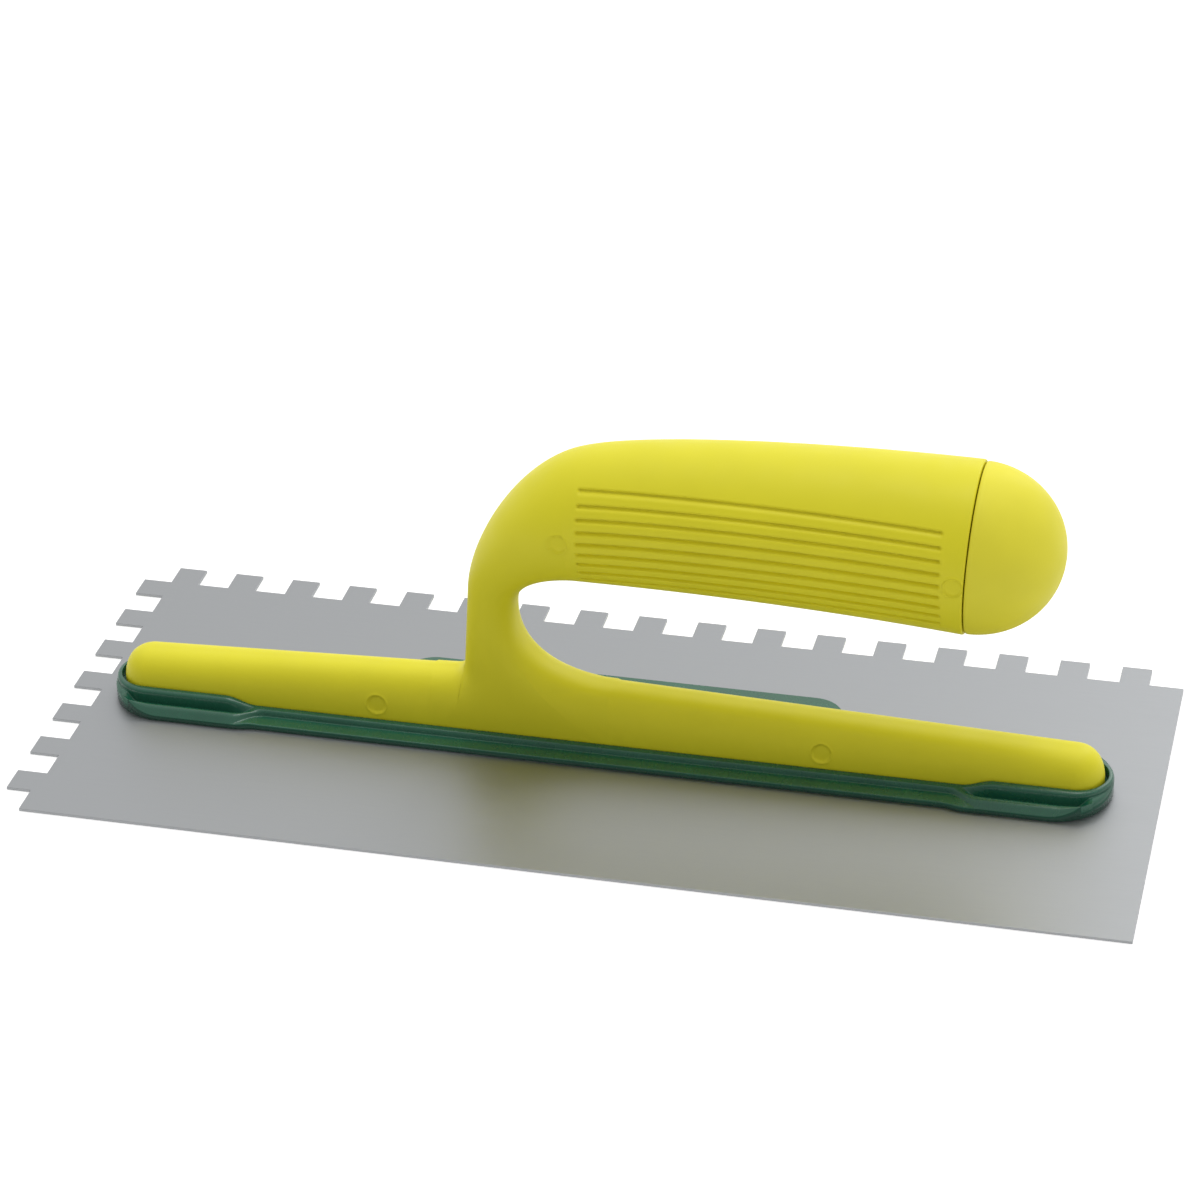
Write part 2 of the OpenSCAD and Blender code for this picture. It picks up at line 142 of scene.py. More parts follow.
class HandleSizes(bpy.types.PropertyGroup):
    foot_end_h: length("Foot height at the ends", 12.4, "Height of the foot near its ends")
    foot_neck_h: length("Foot height at the neck", 16.5, "Height of the foot at the neck")
    neck_x: length("Neck", -35, "Place of the neck's outer side at its foot")
    neck_lean: length("Neck lean", 2, "How far the outer side leans in on its way up")
    neck_d: length("Neck depth", 13.6, "Thickness of the neck along the blade")
    neck_w: length("Neck width", 16, "Width of the neck across the blade")
    neck_top: length("Neck height", 43, "Height at which the outer side starts to bend")
    grip_x: length("Grip start", -5, "Place where the bend ends and the grip starts")
    grip_top: length("Grip top", 81.2, "Height of the grip's back at its start")
    grip_low: length("Grip underside", 47.6, "Height of the grip's underside at its start")
    seam_h: length("Seam height", 65.9, "Height of the seam's middle")
    seam_half: length("Seam size", 21.45, "Half the height of the grip's section at the seam")
    seam_tilt: angle("Seam tilt", 2.4, "How far the seam leans over towards the dome")
    flat: share("Grip roundness", 0.94, "Width of the grip's section as a share of its height")
    grooves: IntProperty(name="Grooves", description="Grooves on each side", default=9, min=1)
    groove_pitch: length("Groove pitch", 3.02, "From one groove to the next at the grip's start")
    groove_fan: share("Groove fan", 0.02, "Share by which the grooves' pitch grows towards the seam")
    groove_drop: length("Groove drop", 0.5, "How far the grooves sink below the middle at the seam")
    groove_w: length("Groove width", 1.5, "Width of a groove across its soft edges")
    groove_d: length("Groove depth", 1.15, "Depth of a groove")
    groove_x0: length("Grooves start", -1.8, "Place of the grooves' ends nearest the neck")
    groove_x1: length("Grooves end", 86.7, "Place of the grooves' ends nearest the seam")
    pin_r: length("Pin mark", 2.4, "Radius of the marks left by the mould's ejector pins")
    pin_d: length("Pin mark depth", 0.42, "Depth of the pin marks")


class CapSizes(bpy.types.PropertyGroup):
    plug: length("Plug", 13, "How far the cap's plug reaches into the grip")
    step: length("Step", 0.3, "How much smaller the cap is than the grip, all round")
    gap: length("Seam gap", 0.32, "Open gap at the seam")
    plug_r: length("Plug radius", 16, "Radius of the plug")
    inset: length("Dome inset", 0.05, "How far the dome's tip stays inside the CAD node's")


class RivetSizes(bpy.types.PropertyGroup):
    count: IntProperty(name="Rivets", description="Number of rivets", default=7, min=1)
    pitch: length("Rivet pitch", 36, "From one rivet to the next")
    shank_r: length("Shank radius", 1.6, "Radius of a rivet's shank")
    head_r: length("Head radius", 3, "Radius of a rivet's heads")
    head_h: length("Head height", 1.5, "Height of a rivet's upper head")


class Finishes(bpy.types.PropertyGroup):
    handle: colour("Handle plastic", "#E9E02A", "Body colour of the handle's plastic")
    cap: colour("Cap plastic", "#ECE23C", "Body colour of the end cap's plastic")
    base: colour("Base plastic", "#1B5C45", "Body colour of the base's plastic")
    steel: colour("Blade steel", "#A0A2A4", "Reflected colour of the blade's stainless steel")
    rivet: colour("Rivet aluminium", "#C9CBCC", "Reflected colour of the rivets")
    screw: colour("Screw zinc", "#BEC2C4", "Reflected colour of the screws")


class StageSettings(bpy.types.PropertyGroup):
    floor: colour("Floor", "#F0F0F0", "Colour of the floor")
    distance: length("Camera distance", 945.7, "From the camera to the point it looks at")
    aim_h: length("Camera aim", 41.1, "Height of the point that the camera looks at")
    lens: share("Focal length", 115.16, "The camera's focal length in millimetres, on a 36 mm sensor")
    azimuth: angle("Camera azimuth", 14.10, "How far the camera stands round to the right")
    elevation: angle("Camera elevation", 30.72, "How far the camera looks down")
    roll: angle("Camera roll", 1.372, "How far the camera is rolled clockwise")


GROUPS = {
    "trowel_blade": BladeSizes,
    "trowel_base": BaseSizes,
    "trowel_handle": HandleSizes,
    "trowel_cap": CapSizes,
    "trowel_rivets": RivetSizes,
    "trowel_finishes": Finishes,
    "trowel_stage": StageSettings,
}


# ---- small geometry ----

POLE = 1e-7  # radius in metres of a closed end, whose points are merged into one
MERGE = 2e-6  # points closer than this, in metres, are one
CORNER_PULL = 0.56  # makes a curve round a corner much like a quarter circle


def smooth(value):
    """Eases a number from 0 to 1."""
    t = np.clip(value, 0.0, 1.0)
    return t * t * (3.0 - 2.0 * t)


def mix(a, b, t):
    """The value that lies a share t of the way from a to b."""
    return a + (b - a) * t


def bezier(controls, count):
    """Points along a cubic Bezier curve."""
    p = np.array(controls, dtype=float)
    t = np.linspace(0.0, 1.0, count)[:, None]
    s = 1.0 - t
    return s ** 3 * p[0] + 3 * s * s * t * p[1] + 3 * s * t * t * p[2] + t ** 3 * p[3]


def resample(points, count):
    """The same line with its points evenly spaced."""
    steps = np.linalg.norm(np.diff(points, axis=0), axis=1)
    along = np.concatenate([[0.0], np.cumsum(steps)])
    wanted = np.linspace(0.0, along[-1], count)
    return np.stack([np.interp(wanted, along, points[:, k]) for k in range(points.shape[1])], axis=1)


def corner_curve(start, corner, end, count=24):
    """A rounded corner between two points."""
    start, corner, end = (np.array(p, dtype=float) for p in (start, corner, end))
    return bezier([start, mix(start, corner, CORNER_PULL), mix(end, corner, CORNER_PULL), end], count)


def distance_to(line, x, z):
    """Distance in the side view from each point to a line of points."""
    a, b = line[:-1], line[1:]
    d = b - a
    span = np.maximum((d * d).sum(axis=1), 1e-18)
    px, pz = x[..., None] - a[:, 0], z[..., None] - a[:, 1]
    t = np.clip((px * d[:, 0] + pz * d[:, 1]) / span, 0.0, 1.0)
    return np.sqrt((px - t * d[:, 0]) ** 2 + (pz - t * d[:, 1]) ** 2).min(axis=-1)


def bulge(depth, exponent):
    """Height of a rounded edge at a share of its depth: 0 at the edge and 1 once past it."""
    return (1.0 - (1.0 - np.clip(depth, 0.0, 1.0)) ** exponent) ** (1.0 / exponent)


def stations(start, end, step, spots, fine=0.28 * MM):
    """Places from start to end, a step apart, but closer where a small feature lies."""
    places = [start]
    while places[-1] < end - 1e-9:
        near = any(abs(places[-1] - middle) < reach + step for middle, reach in spots)
        places.append(places[-1] + (fine if near else step))
    places[-1] = end
    if end - places[-2] < 0.4 * fine:
        del places[-2]
    return np.array(places)


class Shell:
    """Collects grids of points into one closed mesh."""

    def __init__(self):
        self.points = []
        self.faces = []

    def grid(self, rows):
        """Adds a grid of points, skinned with quads."""
        rows = np.asarray(rows)
        base = sum(len(p) for p in self.points)
        height, width = rows.shape[:2]
        index = base + np.arange(height * width).reshape(height, width)
        quads = np.stack([index[:-1, :-1], index[:-1, 1:], index[1:, 1:], index[1:, :-1]], axis=-1)
        self.points.append(rows.reshape(-1, 3))
        self.faces.extend(quads.reshape(-1, 4).tolist())

    def mirrored(self, rows):
        """Adds a grid and its reflection across the centre line."""
        self.grid(rows)
        self.grid(np.asarray(rows) * (1.0, -1.0, 1.0))

    def mesh(self, name):
        """The mesh: doubles merged, empty faces gone and normals outward."""
        mesh = bpy.data.meshes.new(name)
        mesh.from_pydata(np.concatenate(self.points).tolist(), [], self.faces)
        bm = bmesh.new()
        bm.from_mesh(mesh)
        bmesh.ops.remove_doubles(bm, verts=bm.verts, dist=MERGE)
        bmesh.ops.dissolve_degenerate(bm, dist=POLE, edges=bm.edges)
        bmesh.ops.recalc_face_normals(bm, faces=bm.faces)
        for face in bm.faces:
            face.smooth = True
        bm.to_mesh(mesh)
        bm.free()
        return mesh


def add_piece(mesh, name, material, node):
    """Puts a mesh in the scene as the finished piece that stands for a CAD node."""
    if not mesh.polygons:
        raise RuntimeError(f"The piece {name} has no faces")
    piece = bpy.data.objects.new(name, mesh)
    bpy.context.scene.collection.objects.link(piece)
    mesh.materials.clear()
    mesh.materials.append(material)
    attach(piece, BODY)
    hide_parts(node)
    return piece


# ---- node trees ----


def add_node(tree, kind, inputs=None, **settings):
    """Adds a node, sets its options and fills its inputs. An input that is given a socket is linked to
    it, and one that is given a node is linked to that node's first output."""
    node = tree.nodes.new(kind)
    for key, value in settings.items():
        setattr(node, key, value)
    for key, value in (inputs or {}).items():
        if isinstance(value, bpy.types.Node):
            value = value.outputs[0]
        if isinstance(value, bpy.types.NodeSocket):
            tree.links.new(value, node.inputs[key])
        else:
            node.inputs[key].default_value = value
    return node


def new_material(name, colour_value, values, patterns, stretch=(1.0, 1.0, 1.0)):
    """A material with a Principled shader whose inputs take the given values, some with a pattern.
    A pattern is noise on the piece itself: the size of its grains in metres, its detail, and the lowest
    and highest factor of the colour, or roughness, or depth in metres. Stretch lengthens the grains."""
    material = bpy.data.materials.new(name)
    material.use_nodes = True
    tree = material.node_tree
    shader = tree.nodes["Principled BSDF"]
    paint = (*colour_value, 1.0)
    for label, value in {"Base Color": paint, **values}.items():
        shader.inputs[label].default_value = value
    for label, (size, detail, low, high) in patterns.items():
        scale = [1.0 / (size * part) for part in stretch]
        place = add_node(tree, "ShaderNodeTexCoord").outputs["Object"]
        spot = add_node(tree, "ShaderNodeMapping", {"Vector": place, "Scale": scale})
        noise = add_node(tree, "ShaderNodeTexNoise", {"Vector": spot, "Scale": 1.0, "Detail": detail})
        if label == "Normal":
            result = add_node(tree, "ShaderNodeBump", {"Height": noise, "Strength": 1.0, "Distance": high})
        else:
            # Noise keeps near a half, so only its middle is spread from the lowest to the highest value.
            result = add_node(tree, "ShaderNodeMapRange", {
                "Value": noise, "From Min": 0.3, "From Max": 0.7, "To Min": low, "To Max": high})
        if label == "Base Color":
            result = add_node(tree, "ShaderNodeHueSaturation", {"Color": paint, "Value": result})
        tree.links.new(result.outputs[0], shader.inputs[label])
    return material


def moulded_plastic(name, colour_value, roughness, blotch):
    """Injection-moulded polypropylene: a soft gloss over an even body colour, which clouds a little
    in large patches and has the faint skin of a spark-finished mould."""
    # The mould's skin is under 0.1 mm; it is drawn at 0.5 mm so that it shows.
    return new_material(name, colour_value, {"IOR": 1.49, "Specular IOR Level": 0.3}, {
        "Base Color": (18 * MM, 2.0, 1.0 - blotch, 1.0 + blotch),
        "Roughness": (6 * MM, 2.0, roughness - 0.04, roughness + 0.05),
        "Normal": (0.5 * MM, 3.0, 0.0, 0.012 * MM)})


def base_plastic(colour_value):
    """Glossy moulded ABS: a clear shine with softened reflections, and a faint ripple in the surface."""
    return new_material("moulded_green_abs", colour_value, {"IOR": 1.53, "Specular IOR Level": 0.6}, {
        "Base Color": (9 * MM, 2.0, 0.92, 1.08),
        "Roughness": (3 * MM, 2.0, 0.2, 0.32),
        "Normal": (2.5 * MM, 2.0, 0.0, 0.01 * MM)})


def satin_steel(colour_value):
    """Cold-rolled stainless sheet: reflections drawn out by a fine grain that runs along the blade."""
    # Rolling grain is about 0.02 mm wide; it is drawn at 0.35 mm so that it shows.
    return new_material("satin_stainless_steel", colour_value, {"Metallic": 1.0}, {
        "Base Color": (0.35 * MM, 3.0, 0.985, 1.01),
        "Roughness": (0.35 * MM, 3.0, 0.42, 0.5),
        "Normal": (0.35 * MM, 3.0, 0.0, 0.0025 * MM)}, stretch=(40.0, 1.0, 1.0))


def turned_metal(name, colour_value, roughness):
    """Machined or headed metal: fine marks left by the tool, and a dull shine."""
    return new_material(name, colour_value, {"Metallic": 1.0}, {
        "Roughness": (0.4 * MM, 2.0, roughness - 0.08, roughness + 0.08),
        "Normal": (0.4 * MM, 2.0, 0.0, 0.01 * MM)})


# ---- geometry nodes ----


def new_tree(name, inputs):
    """A geometry node tree with named inputs; returns it with its input and output nodes."""
    tree = bpy.data.node_groups.new(name, "GeometryNodeTree")
    for label, kind in inputs.items():
        tree.interface.new_socket(label, in_out="INPUT", socket_type=kind)
    tree.interface.new_socket("Geometry", in_out="OUTPUT", socket_type="NodeSocketGeometry")
    return tree, add_node(tree, "NodeGroupInput").outputs, add_node(tree, "NodeGroupOutput")


def grown_mesh(name, tree, values):
    """Runs a tree with the given inputs and returns its result as a plain mesh."""
    holder = bpy.data.objects.new(name, bpy.data.meshes.new(name))
    bpy.context.scene.collection.objects.link(holder)
    modifier = holder.modifiers.new(name, "NODES")
    modifier.node_group = tree
    for item in tree.interface.items_tree:
        if item.in_out == "INPUT":
            modifier[item.identifier] = values[item.name]
    bpy.context.view_layer.update()
    evaluated = holder.evaluated_get(bpy.context.evaluated_depsgraph_get())
    mesh = bpy.data.meshes.new_from_object(evaluated)
    holder.modifiers.clear()
    bpy.data.objects.remove(holder)
    mesh.name = name
    return mesh


def vector_of(tree, given, x, y, z):
    """A vector in a tree. Each of its parts is a sum of the tree's inputs, each times its factor."""
    parts = {}
    for axis, terms in (("X", x), ("Y", y), ("Z", z)):
        total = 0.0
        for label, factor in terms.items():
            total = add_node(tree, "ShaderNodeMath", {0: given[label], 1: factor, 2: total},
                             operation="MULTIPLY_ADD").outputs[0]
        parts[axis] = total
    return add_node(tree, "ShaderNodeCombineXYZ", parts)


def finished(tree, given, output, geometry):
    """Ends a tree: makes its copies real and gives them the material."""
    real = add_node(tree, "GeometryNodeRealizeInstances", {0: geometry})
    painted = add_node(tree, "GeometryNodeSetMaterial", {"Geometry": real, "Material": given["Material"]})
    tree.links.new(painted.outputs[0], output.inputs[0])
    return tree


RIVET_SIDES = 32
# Sums of the sheet's sizes, for where its cutting blocks stand and how large they are.
LEFT, RIGHT = {"Length": -0.5}, {"Length": 0.5}
FRONT, BACK = {"Width": -0.5}, {"Width": 0.5}
GAP = {"Pitch": 1.0, "Tooth": -1.0}
DEEP = {"Depth": 2.0}
# Rows of blocks: where the first one's middle is, the step to the next, how many there are, and a
# block's size along and across the blade. A block stands on the sheet's edge and is twice as deep as
# its notch, so it cuts the depth.
CUTTERS = (
    # The notches of both edges start two teeth from their corner.
    ({**LEFT, "Tooth": 1.5, "Pitch": 0.5}, BACK, {"Pitch": 1.0}, {}, "Back Notches", GAP, DEEP),
    (LEFT, {**BACK, "Tooth": -1.5, "Pitch": -0.5}, {}, {"Pitch": -1.0}, "Side Notches", DEEP, GAP),
    # The cell left out at that corner.
    (LEFT, BACK, {}, {}, 1, {"Tooth": 2.0}, DEEP),
    # The last side notch, which leaves a nub at the front corner.
    (LEFT, FRONT, {}, {}, 1, {"Depth": 2.0, "Nub": -2.0}, {"Pitch": 2.0, "Tooth": -2.0}),
    # The last back notch would leave a sliver of tooth at the right corner, so it runs out there.
    (RIGHT, BACK, {}, {}, 1, GAP, DEEP),
)


def notched_sheet_tree():
    """A flat sheet with rows of square notches cut into two of its edges."""
    sizes = ("Length", "Width", "Thickness", "Pitch", "Tooth", "Depth", "Nub")
    tree, given, output = new_tree("notched_sheet", {
        **dict.fromkeys(sizes, "NodeSocketFloat"), "Back Notches": "NodeSocketInt",
        "Side Notches": "NodeSocketInt", "Material": "NodeSocketMaterial"})
    cutters = add_node(tree, "GeometryNodeJoinGeometry")
    for x, y, step_x, step_y, count, along, across in CUTTERS:
        line = add_node(tree, "GeometryNodeMeshLine", {
            "Count": count if isinstance(count, int) else given[count],
            "Start Location": vector_of(tree, given, x, y, {}),
            "Offset": vector_of(tree, given, step_x, step_y, {})})
        block = add_node(tree, "GeometryNodeMeshCube", {
            "Size": vector_of(tree, given, along, across, {"Thickness": 4.0})})
        row = add_node(tree, "GeometryNodeInstanceOnPoints", {"Points": line, "Instance": block})
        tree.links.new(row.outputs[0], cutters.inputs[0])
    blocks = add_node(tree, "GeometryNodeRealizeInstances", {0: cutters})
    sheet = add_node(tree, "GeometryNodeMeshCube", {
        "Size": vector_of(tree, given, {"Length": 1.0}, {"Width": 1.0}, {"Thickness": 1.0})})
    cut = add_node(tree, "GeometryNodeMeshBoolean", {
        "Mesh 1": sheet, "Mesh 2": blocks, "Self Intersection": True},
        operation="DIFFERENCE", solver="EXACT")
    lifted = add_node(tree, "GeometryNodeTransform", {
        "Geometry": cut, "Translation": vector_of(tree, given, {}, {}, {"Thickness": 0.5})})
    return finished(tree, given, output, lifted)


def rivet_row_tree():
    """A row of headed rivets: a flush head, a shank and a round head, set on evenly spaced points."""
    sizes = ("Pitch", "Half Row", "Shank", "Head", "Head Height", "Sheet", "Grip")
    tree, given, output = new_tree("rivet_row", {
        "Count": "NodeSocketInt", **dict.fromkeys(sizes, "NodeSocketFloat"),
        "Material": "NodeSocketMaterial"})
    flush = add_node(tree, "GeometryNodeMeshCone", {
        "Vertices": RIVET_SIDES, "Radius Top": given["Shank"], "Radius Bottom": given["Head"],
        "Depth": given["Sheet"]})
    shank = add_node(tree, "GeometryNodeMeshCylinder", {
        "Vertices": RIVET_SIDES, "Radius": given["Shank"], "Depth": given["Grip"]})
    shank = add_node(tree, "GeometryNodeTransform", {
        "Geometry": shank, "Translation": vector_of(tree, given, {}, {}, {"Grip": 0.5})})
    head = add_node(tree, "GeometryNodeMeshUVSphere", {
        "Segments": RIVET_SIDES, "Rings": RIVET_SIDES // 2, "Radius": 1.0})
    head = add_node(tree, "GeometryNodeTransform", {
        "Geometry": head, "Translation": vector_of(tree, given, {}, {}, {"Grip": 1.0}),
        "Scale": vector_of(tree, given, {"Head": 1.0}, {"Head": 1.0}, {"Head Height": 1.0})})
    rivet = add_node(tree, "GeometryNodeMeshBoolean", operation="UNION", solver="EXACT")
    for part in (flush, shank, head):
        tree.links.new(part.outputs[0], rivet.inputs["Mesh 2"])
    line = add_node(tree, "GeometryNodeMeshLine", {
        "Count": given["Count"], "Start Location": vector_of(tree, given, {"Half Row": -1.0}, {}, {}),
        "Offset": vector_of(tree, given, {"Pitch": 1.0}, {}, {})})
    row = add_node(tree, "GeometryNodeInstanceOnPoints", {"Points": line, "Instance": rivet})
    return finished(tree, given, output, row)


# ---- base ----

BASE_STEP, BASE_FINE_STEP = 2.0 * MM, 0.4 * MM  # from one cross-section to the next
END_ROWS = 44  # cross-sections round each quarter of an end
ROUNDS_ROOM = 0.96  # share of the stretch between two corners that their rounds may fill
SUPPORT = 1.25  # where a round's support points lie, as a share of its reach
# Radii of the rounds along a section, from the side's top edge to the channel's bottom edge.
MIDDLE_ROUNDS = np.array([0.35, 0.25, 0.5, 0.5, 0.4, 0.3, 0.15, 0.2]) * MM
END_ROUNDS = np.array([0.4, 0.6, 1.6, 0.6, 0.3, 1.4, 0.15, 0.2]) * MM
# The lip's rounded top in the middle: how far out from the lip's edge, and how far below its height.
LIP_TOP = np.array([(0.15, 0.75), (-0.2, 0.2), (-0.8, 0.04)]) * MM
LIP_FOOT = 0.35 * MM  # how far out from the lip's edge its side meets the plate
LIP_CROWN = 0.02 * MM  # how far the lip's outer edge lies below its inner one
LIP_FLAT = 0.6  # share of the lip's thickness that its rounded top takes in the middle
# Shares of the way round an end: where the pocket starts to close, and how long that takes.
POCKET_END, POCKET_CLOSE = 0.34, 0.18
# Shares of the way from the side to the lip: the furthest that the pocket's floor starts, and its end.
POCKET_LIMIT, POCKET_EDGE = 0.95, 0.93
SLOPE_FOOT = 0.1  # how much of the way up to the ridge the slope's first corner lies
TIP_SPARE = 0.1 * MM  # how far the lip's outer edge stays inside the end


def filleted(corners, radii, steps=5):
    """A line through corners, each rounded, with a support point on both sides of every round. Two
    corners share the stretch between them in proportion to their radii. Rounds that have too little
    room are made smaller, so that their support points still fit."""
    corners = np.asarray(corners, dtype=float)
    radii = [0.0, *radii, 0.0]
    line = [corners[0]]
    for k in range(1, len(corners) - 1):
        arms, rooms = [], []
        for other in (k - 1, k + 1):
            arm = corners[other] - corners[k]
            size = max(np.linalg.norm(arm), 1e-9)
            arms.append(arm / size)
            rooms.append(ROUNDS_ROOM * size * radii[k] / (radii[k] + radii[other]))
        reach = min(radii[k], min(rooms) / SUPPORT)
        start, end = corners[k] + arms[0] * reach, corners[k] + arms[1] * reach
        line.append(corners[k] + arms[0] * min(SUPPORT * reach, rooms[0]))
        for t in np.linspace(0.0, 1.0, steps + 1):
            line.append((1 - t) ** 2 * start + 2 * t * (1 - t) * corners[k] + t * t * end)
        line.append(corners[k] + arms[1] * min(SUPPORT * reach, rooms[1]))
    line.append(corners[-1])
    return np.array(line)


def wing_outline(s, x):
    """How far the wing reaches behind the centre line at a place along the blade, or 0 past its ends."""
    reach, radius, side = BASE_HIGH[1], s.wing_corner, -BASE_LOW[1]
    centre = np.array([s.wing_half - s.wing_taper - radius, reach - radius])
    if x >= s.wing_half:
        return 0.0
    if x <= centre[0]:
        return reach
    # The flank is the line from the side's edge that touches the corner's circle.
    to_centre = centre - (s.wing_half, side)
    away = np.linalg.norm(to_centre)
    slant = math.atan2(to_centre[1], to_centre[0]) - math.asin(radius / away)
    touch_x = s.wing_half + math.sqrt(away ** 2 - radius ** 2) * math.cos(slant)
    if x > touch_x:
        return side + (x - s.wing_half) * math.tan(slant)
    return centre[1] + math.sqrt(radius ** 2 - (x - centre[0]) ** 2)


def end_path(start_x, centre_x, radius, done):
    """A point on the path that runs on straight and then round an end, once a share of it is done,
    and the point of the centre line that it faces."""
    run = centre_x - start_x
    along = done * (run + radius * math.pi / 2)
    if along <= run:
        return np.array([start_x + along, radius]), np.array([start_x + along, 0.0])
    turn = (along - run) / radius
    return (np.array([centre_x + radius * math.sin(turn), radius * math.cos(turn)]),
            np.array([centre_x, 0.0]))


def ridge_corners(s, x, edge_y, lip_y):
    """Corners of the section from its side to the lip, as shares of the way between them and heights:
    the side's top edge, the slope's foot, the ridge and the pocket's two edges."""
    swung = float(smooth((x - s.ridge_start) / s.ridge_swing))
    sunk = float(smooth((x - s.pocket_start) / s.pocket_run))

    def across(y):
        """The share of the way from the side to the lip at which a place lies."""
        return (edge_y - y) / max(edge_y - lip_y, 0.01 * MM)

    # Near the ends the ridge runs straight on, and the rounded side cuts it off.
    crest = float(np.clip(across(s.ridge_reach), 0.0, 1.0))
    pocket = float(np.clip(across(s.ridge_reach - s.ridge_back), 0.0, POCKET_LIMIT))
    side = -BASE_LOW[1]
    wall = mix(s.end_wall, s.ridge_h, min((side - edge_y) / (side - s.ridge_reach), 1.0))
    end = [(0.0, wall), (SLOPE_FOOT * crest, mix(wall, s.ridge_h, SLOPE_FOOT)), (crest, s.ridge_h),
           (pocket, s.plate), (POCKET_EDGE, s.plate)]
    # In the middle of the blade the ridge and the pocket's edges lie on the lip's top.
    middle = [(0.0, s.middle_wall), (across(lip_y + LIP_FOOT), s.plate)]
    middle += [(across(lip_y + out), s.lip_middle - down) for out, down in LIP_TOP]
    shares = [(swung, swung)] * 3 + [(swung, sunk), (sunk, sunk)]
    return [(mix(a[0], b[0], w[0]), mix(a[1], b[1], w[1])) for a, b, w in zip(middle, end, shares)]


def base_row(s, x, done, side, right):
    """One cross-section of the base from its side to the centre line: at x, or past the straight part
    where a share of the way round the end is done. right is 1 on the right and -1 on the left."""
    end_half, end_x = -BASE_LOW[1], BASE_HIGH[0] - s.end_inset
    channel = FOOT_HALF + s.gap
    lip = channel + s.lip_t
    stepped = float(smooth((x - s.step_start) / (s.step_end - s.step_start))) if side < 0 else 1.0
    reach = max(mix(s.middle_reach, end_half, stepped), wing_outline(s, x) if side > 0 else 0.0)
    edge, _ = end_path(x, x, reach, done)
    lip_edge, _ = end_path(x, max(x, end_x - TIP_SPARE - lip), lip, done)
    wall_in, centre = end_path(x, max(x, end_x - s.lip_tip_t - channel), channel, done)
    shifted = x - right * s.ridge_shift
    swung = float(smooth((shifted - s.ridge_start) / s.ridge_swing))
    raised = float(smooth((shifted - s.lip_start) / s.ridge_swing))
    corners = np.array(ridge_corners(s, shifted, edge[1], lip_edge[1]))
    # The pocket closes past the ridge's end, and the upright side runs round the tip up to the lip.
    lip_shoulder = s.lip_end - END_ROUNDS[5]
    closed = mix(s.ridge_h, lip_shoulder, corners[:, 0])
    closed[0] = corners[0, 1]
    corners[:, 1] = mix(corners[:, 1], closed, float(smooth((done - POCKET_END) / POCKET_CLOSE)))
    line = [(*edge, 0.0)] + [(*mix(edge, lip_edge, t), height) for t, height in corners]
    lip_top = mix(s.lip_middle, s.lip_end, raised)
    line += [(*mix(lip_edge, wall_in, LIP_FLAT * (1.0 - raised)), lip_top - LIP_CROWN),
             (*wall_in, lip_top), (*wall_in, s.floor), (*centre, s.floor)]
    row = filleted(line, mix(MIDDLE_ROUNDS, END_ROUNDS, swung)) + (0.0, 0.0, BLADE_TOP)
    flip = np.array([right, side, 1.0])
    under = [(*point, BLADE_TOP) for point in (edge, mix(edge, centre, 0.5), centre)]
    return row * flip, np.array(under) * flip


def build_base(s):
    """The base's mesh: its top and underside, right round from one end to the other on both sides."""
    shell = Shell()
    # Sections are closer where the ridges leave the lip and where the wing's corners lie.
    dense = [(s.ridge_start + 6 * MM, 8 * MM), (s.wing_half - 4 * MM, 6 * MM)]
    last_x = BASE_HIGH[0] - s.end_inset + BASE_LOW[1]
    half = [(x, 0.0) for x in stations(0.0, last_x, BASE_STEP, dense, BASE_FINE_STEP)]
    half += [(last_x, done) for done in np.linspace(0.0, 1.0, END_ROWS)[1:]]
    path = [(x, done, -1.0) for x, done in half[:0:-1]] + [(x, done, 1.0) for x, done in half]
    for side in (-1.0, 1.0):
        pairs = [base_row(s, x, done, side, right) for x, done, right in path]
        shell.grid([row for row, _ in pairs])
        shell.grid([under for _, under in pairs])
    return shell.mesh("base_moulding")


# ---- handle ----

HALF_RING = 150  # steps round half of a ring
LEG = 52  # steps down the foot's side
GROOVE_STEPS = 12  # steps from one groove to the next
ARM_STEP, GRIP_STEP = 1.8 * MM, 1.6 * MM  # from one section to the next
OUTLINE_POINTS, GAP_POINTS, GRIP_POINTS, LEG_POINTS = 80, 60, 120, 400
NECK_RINGS = 58
PATCH_ROWS = 44
TIP_ROWS = 19
# Exponents of the rounded sections, the last where the patch leaves the foot: 2 is an oval, and more
# is squarer.
OVAL, NECK_SECTION, PATCH_SECTION = 2.0, 2.4, 3.0
FOOT_POWER = 0.75  # power of the sine and cosine that square up the foot's section
# The foot's usual half width and height in millimetres, by which its section's points are spaced.
FOOT_SHAPE = np.array([7.5, 13.0])
# Pulls of the grip's outlines in the side view, along the blade and up: of its back where the bend
# hands over to it and towards the seam, and of its belly from the bend and towards the seam.
CROWN_PULL = np.array([15.0, 5.0]) * MM
BACK_PULL = np.array([-37.0, 0.9]) * MM
BELLY_START_PULL = np.array([29.0, 0.7]) * MM
BELLY_PULL = np.array([-32.0, 2.8]) * MM
# Middles of the ejector pins' marks: along the blade and above it.
FOOT_PINS = np.array([(-57.0, 7.2), (57.0, 7.2)]) * MM
GRIP_PINS = np.array([(-6.4, 64.2), (89.9, 65.8)]) * MM
PIN_SPACE = 0.5 * MM  # how far round a mark the sections stay close together
GROOVE_END = 0.7 * MM  # length over which a groove's end rises
PIN_EDGE = 0.35 * MM  # width of a mark's soft edge
PIN_RIM = 0.3 * MM  # width of the faint rim raised round a mark
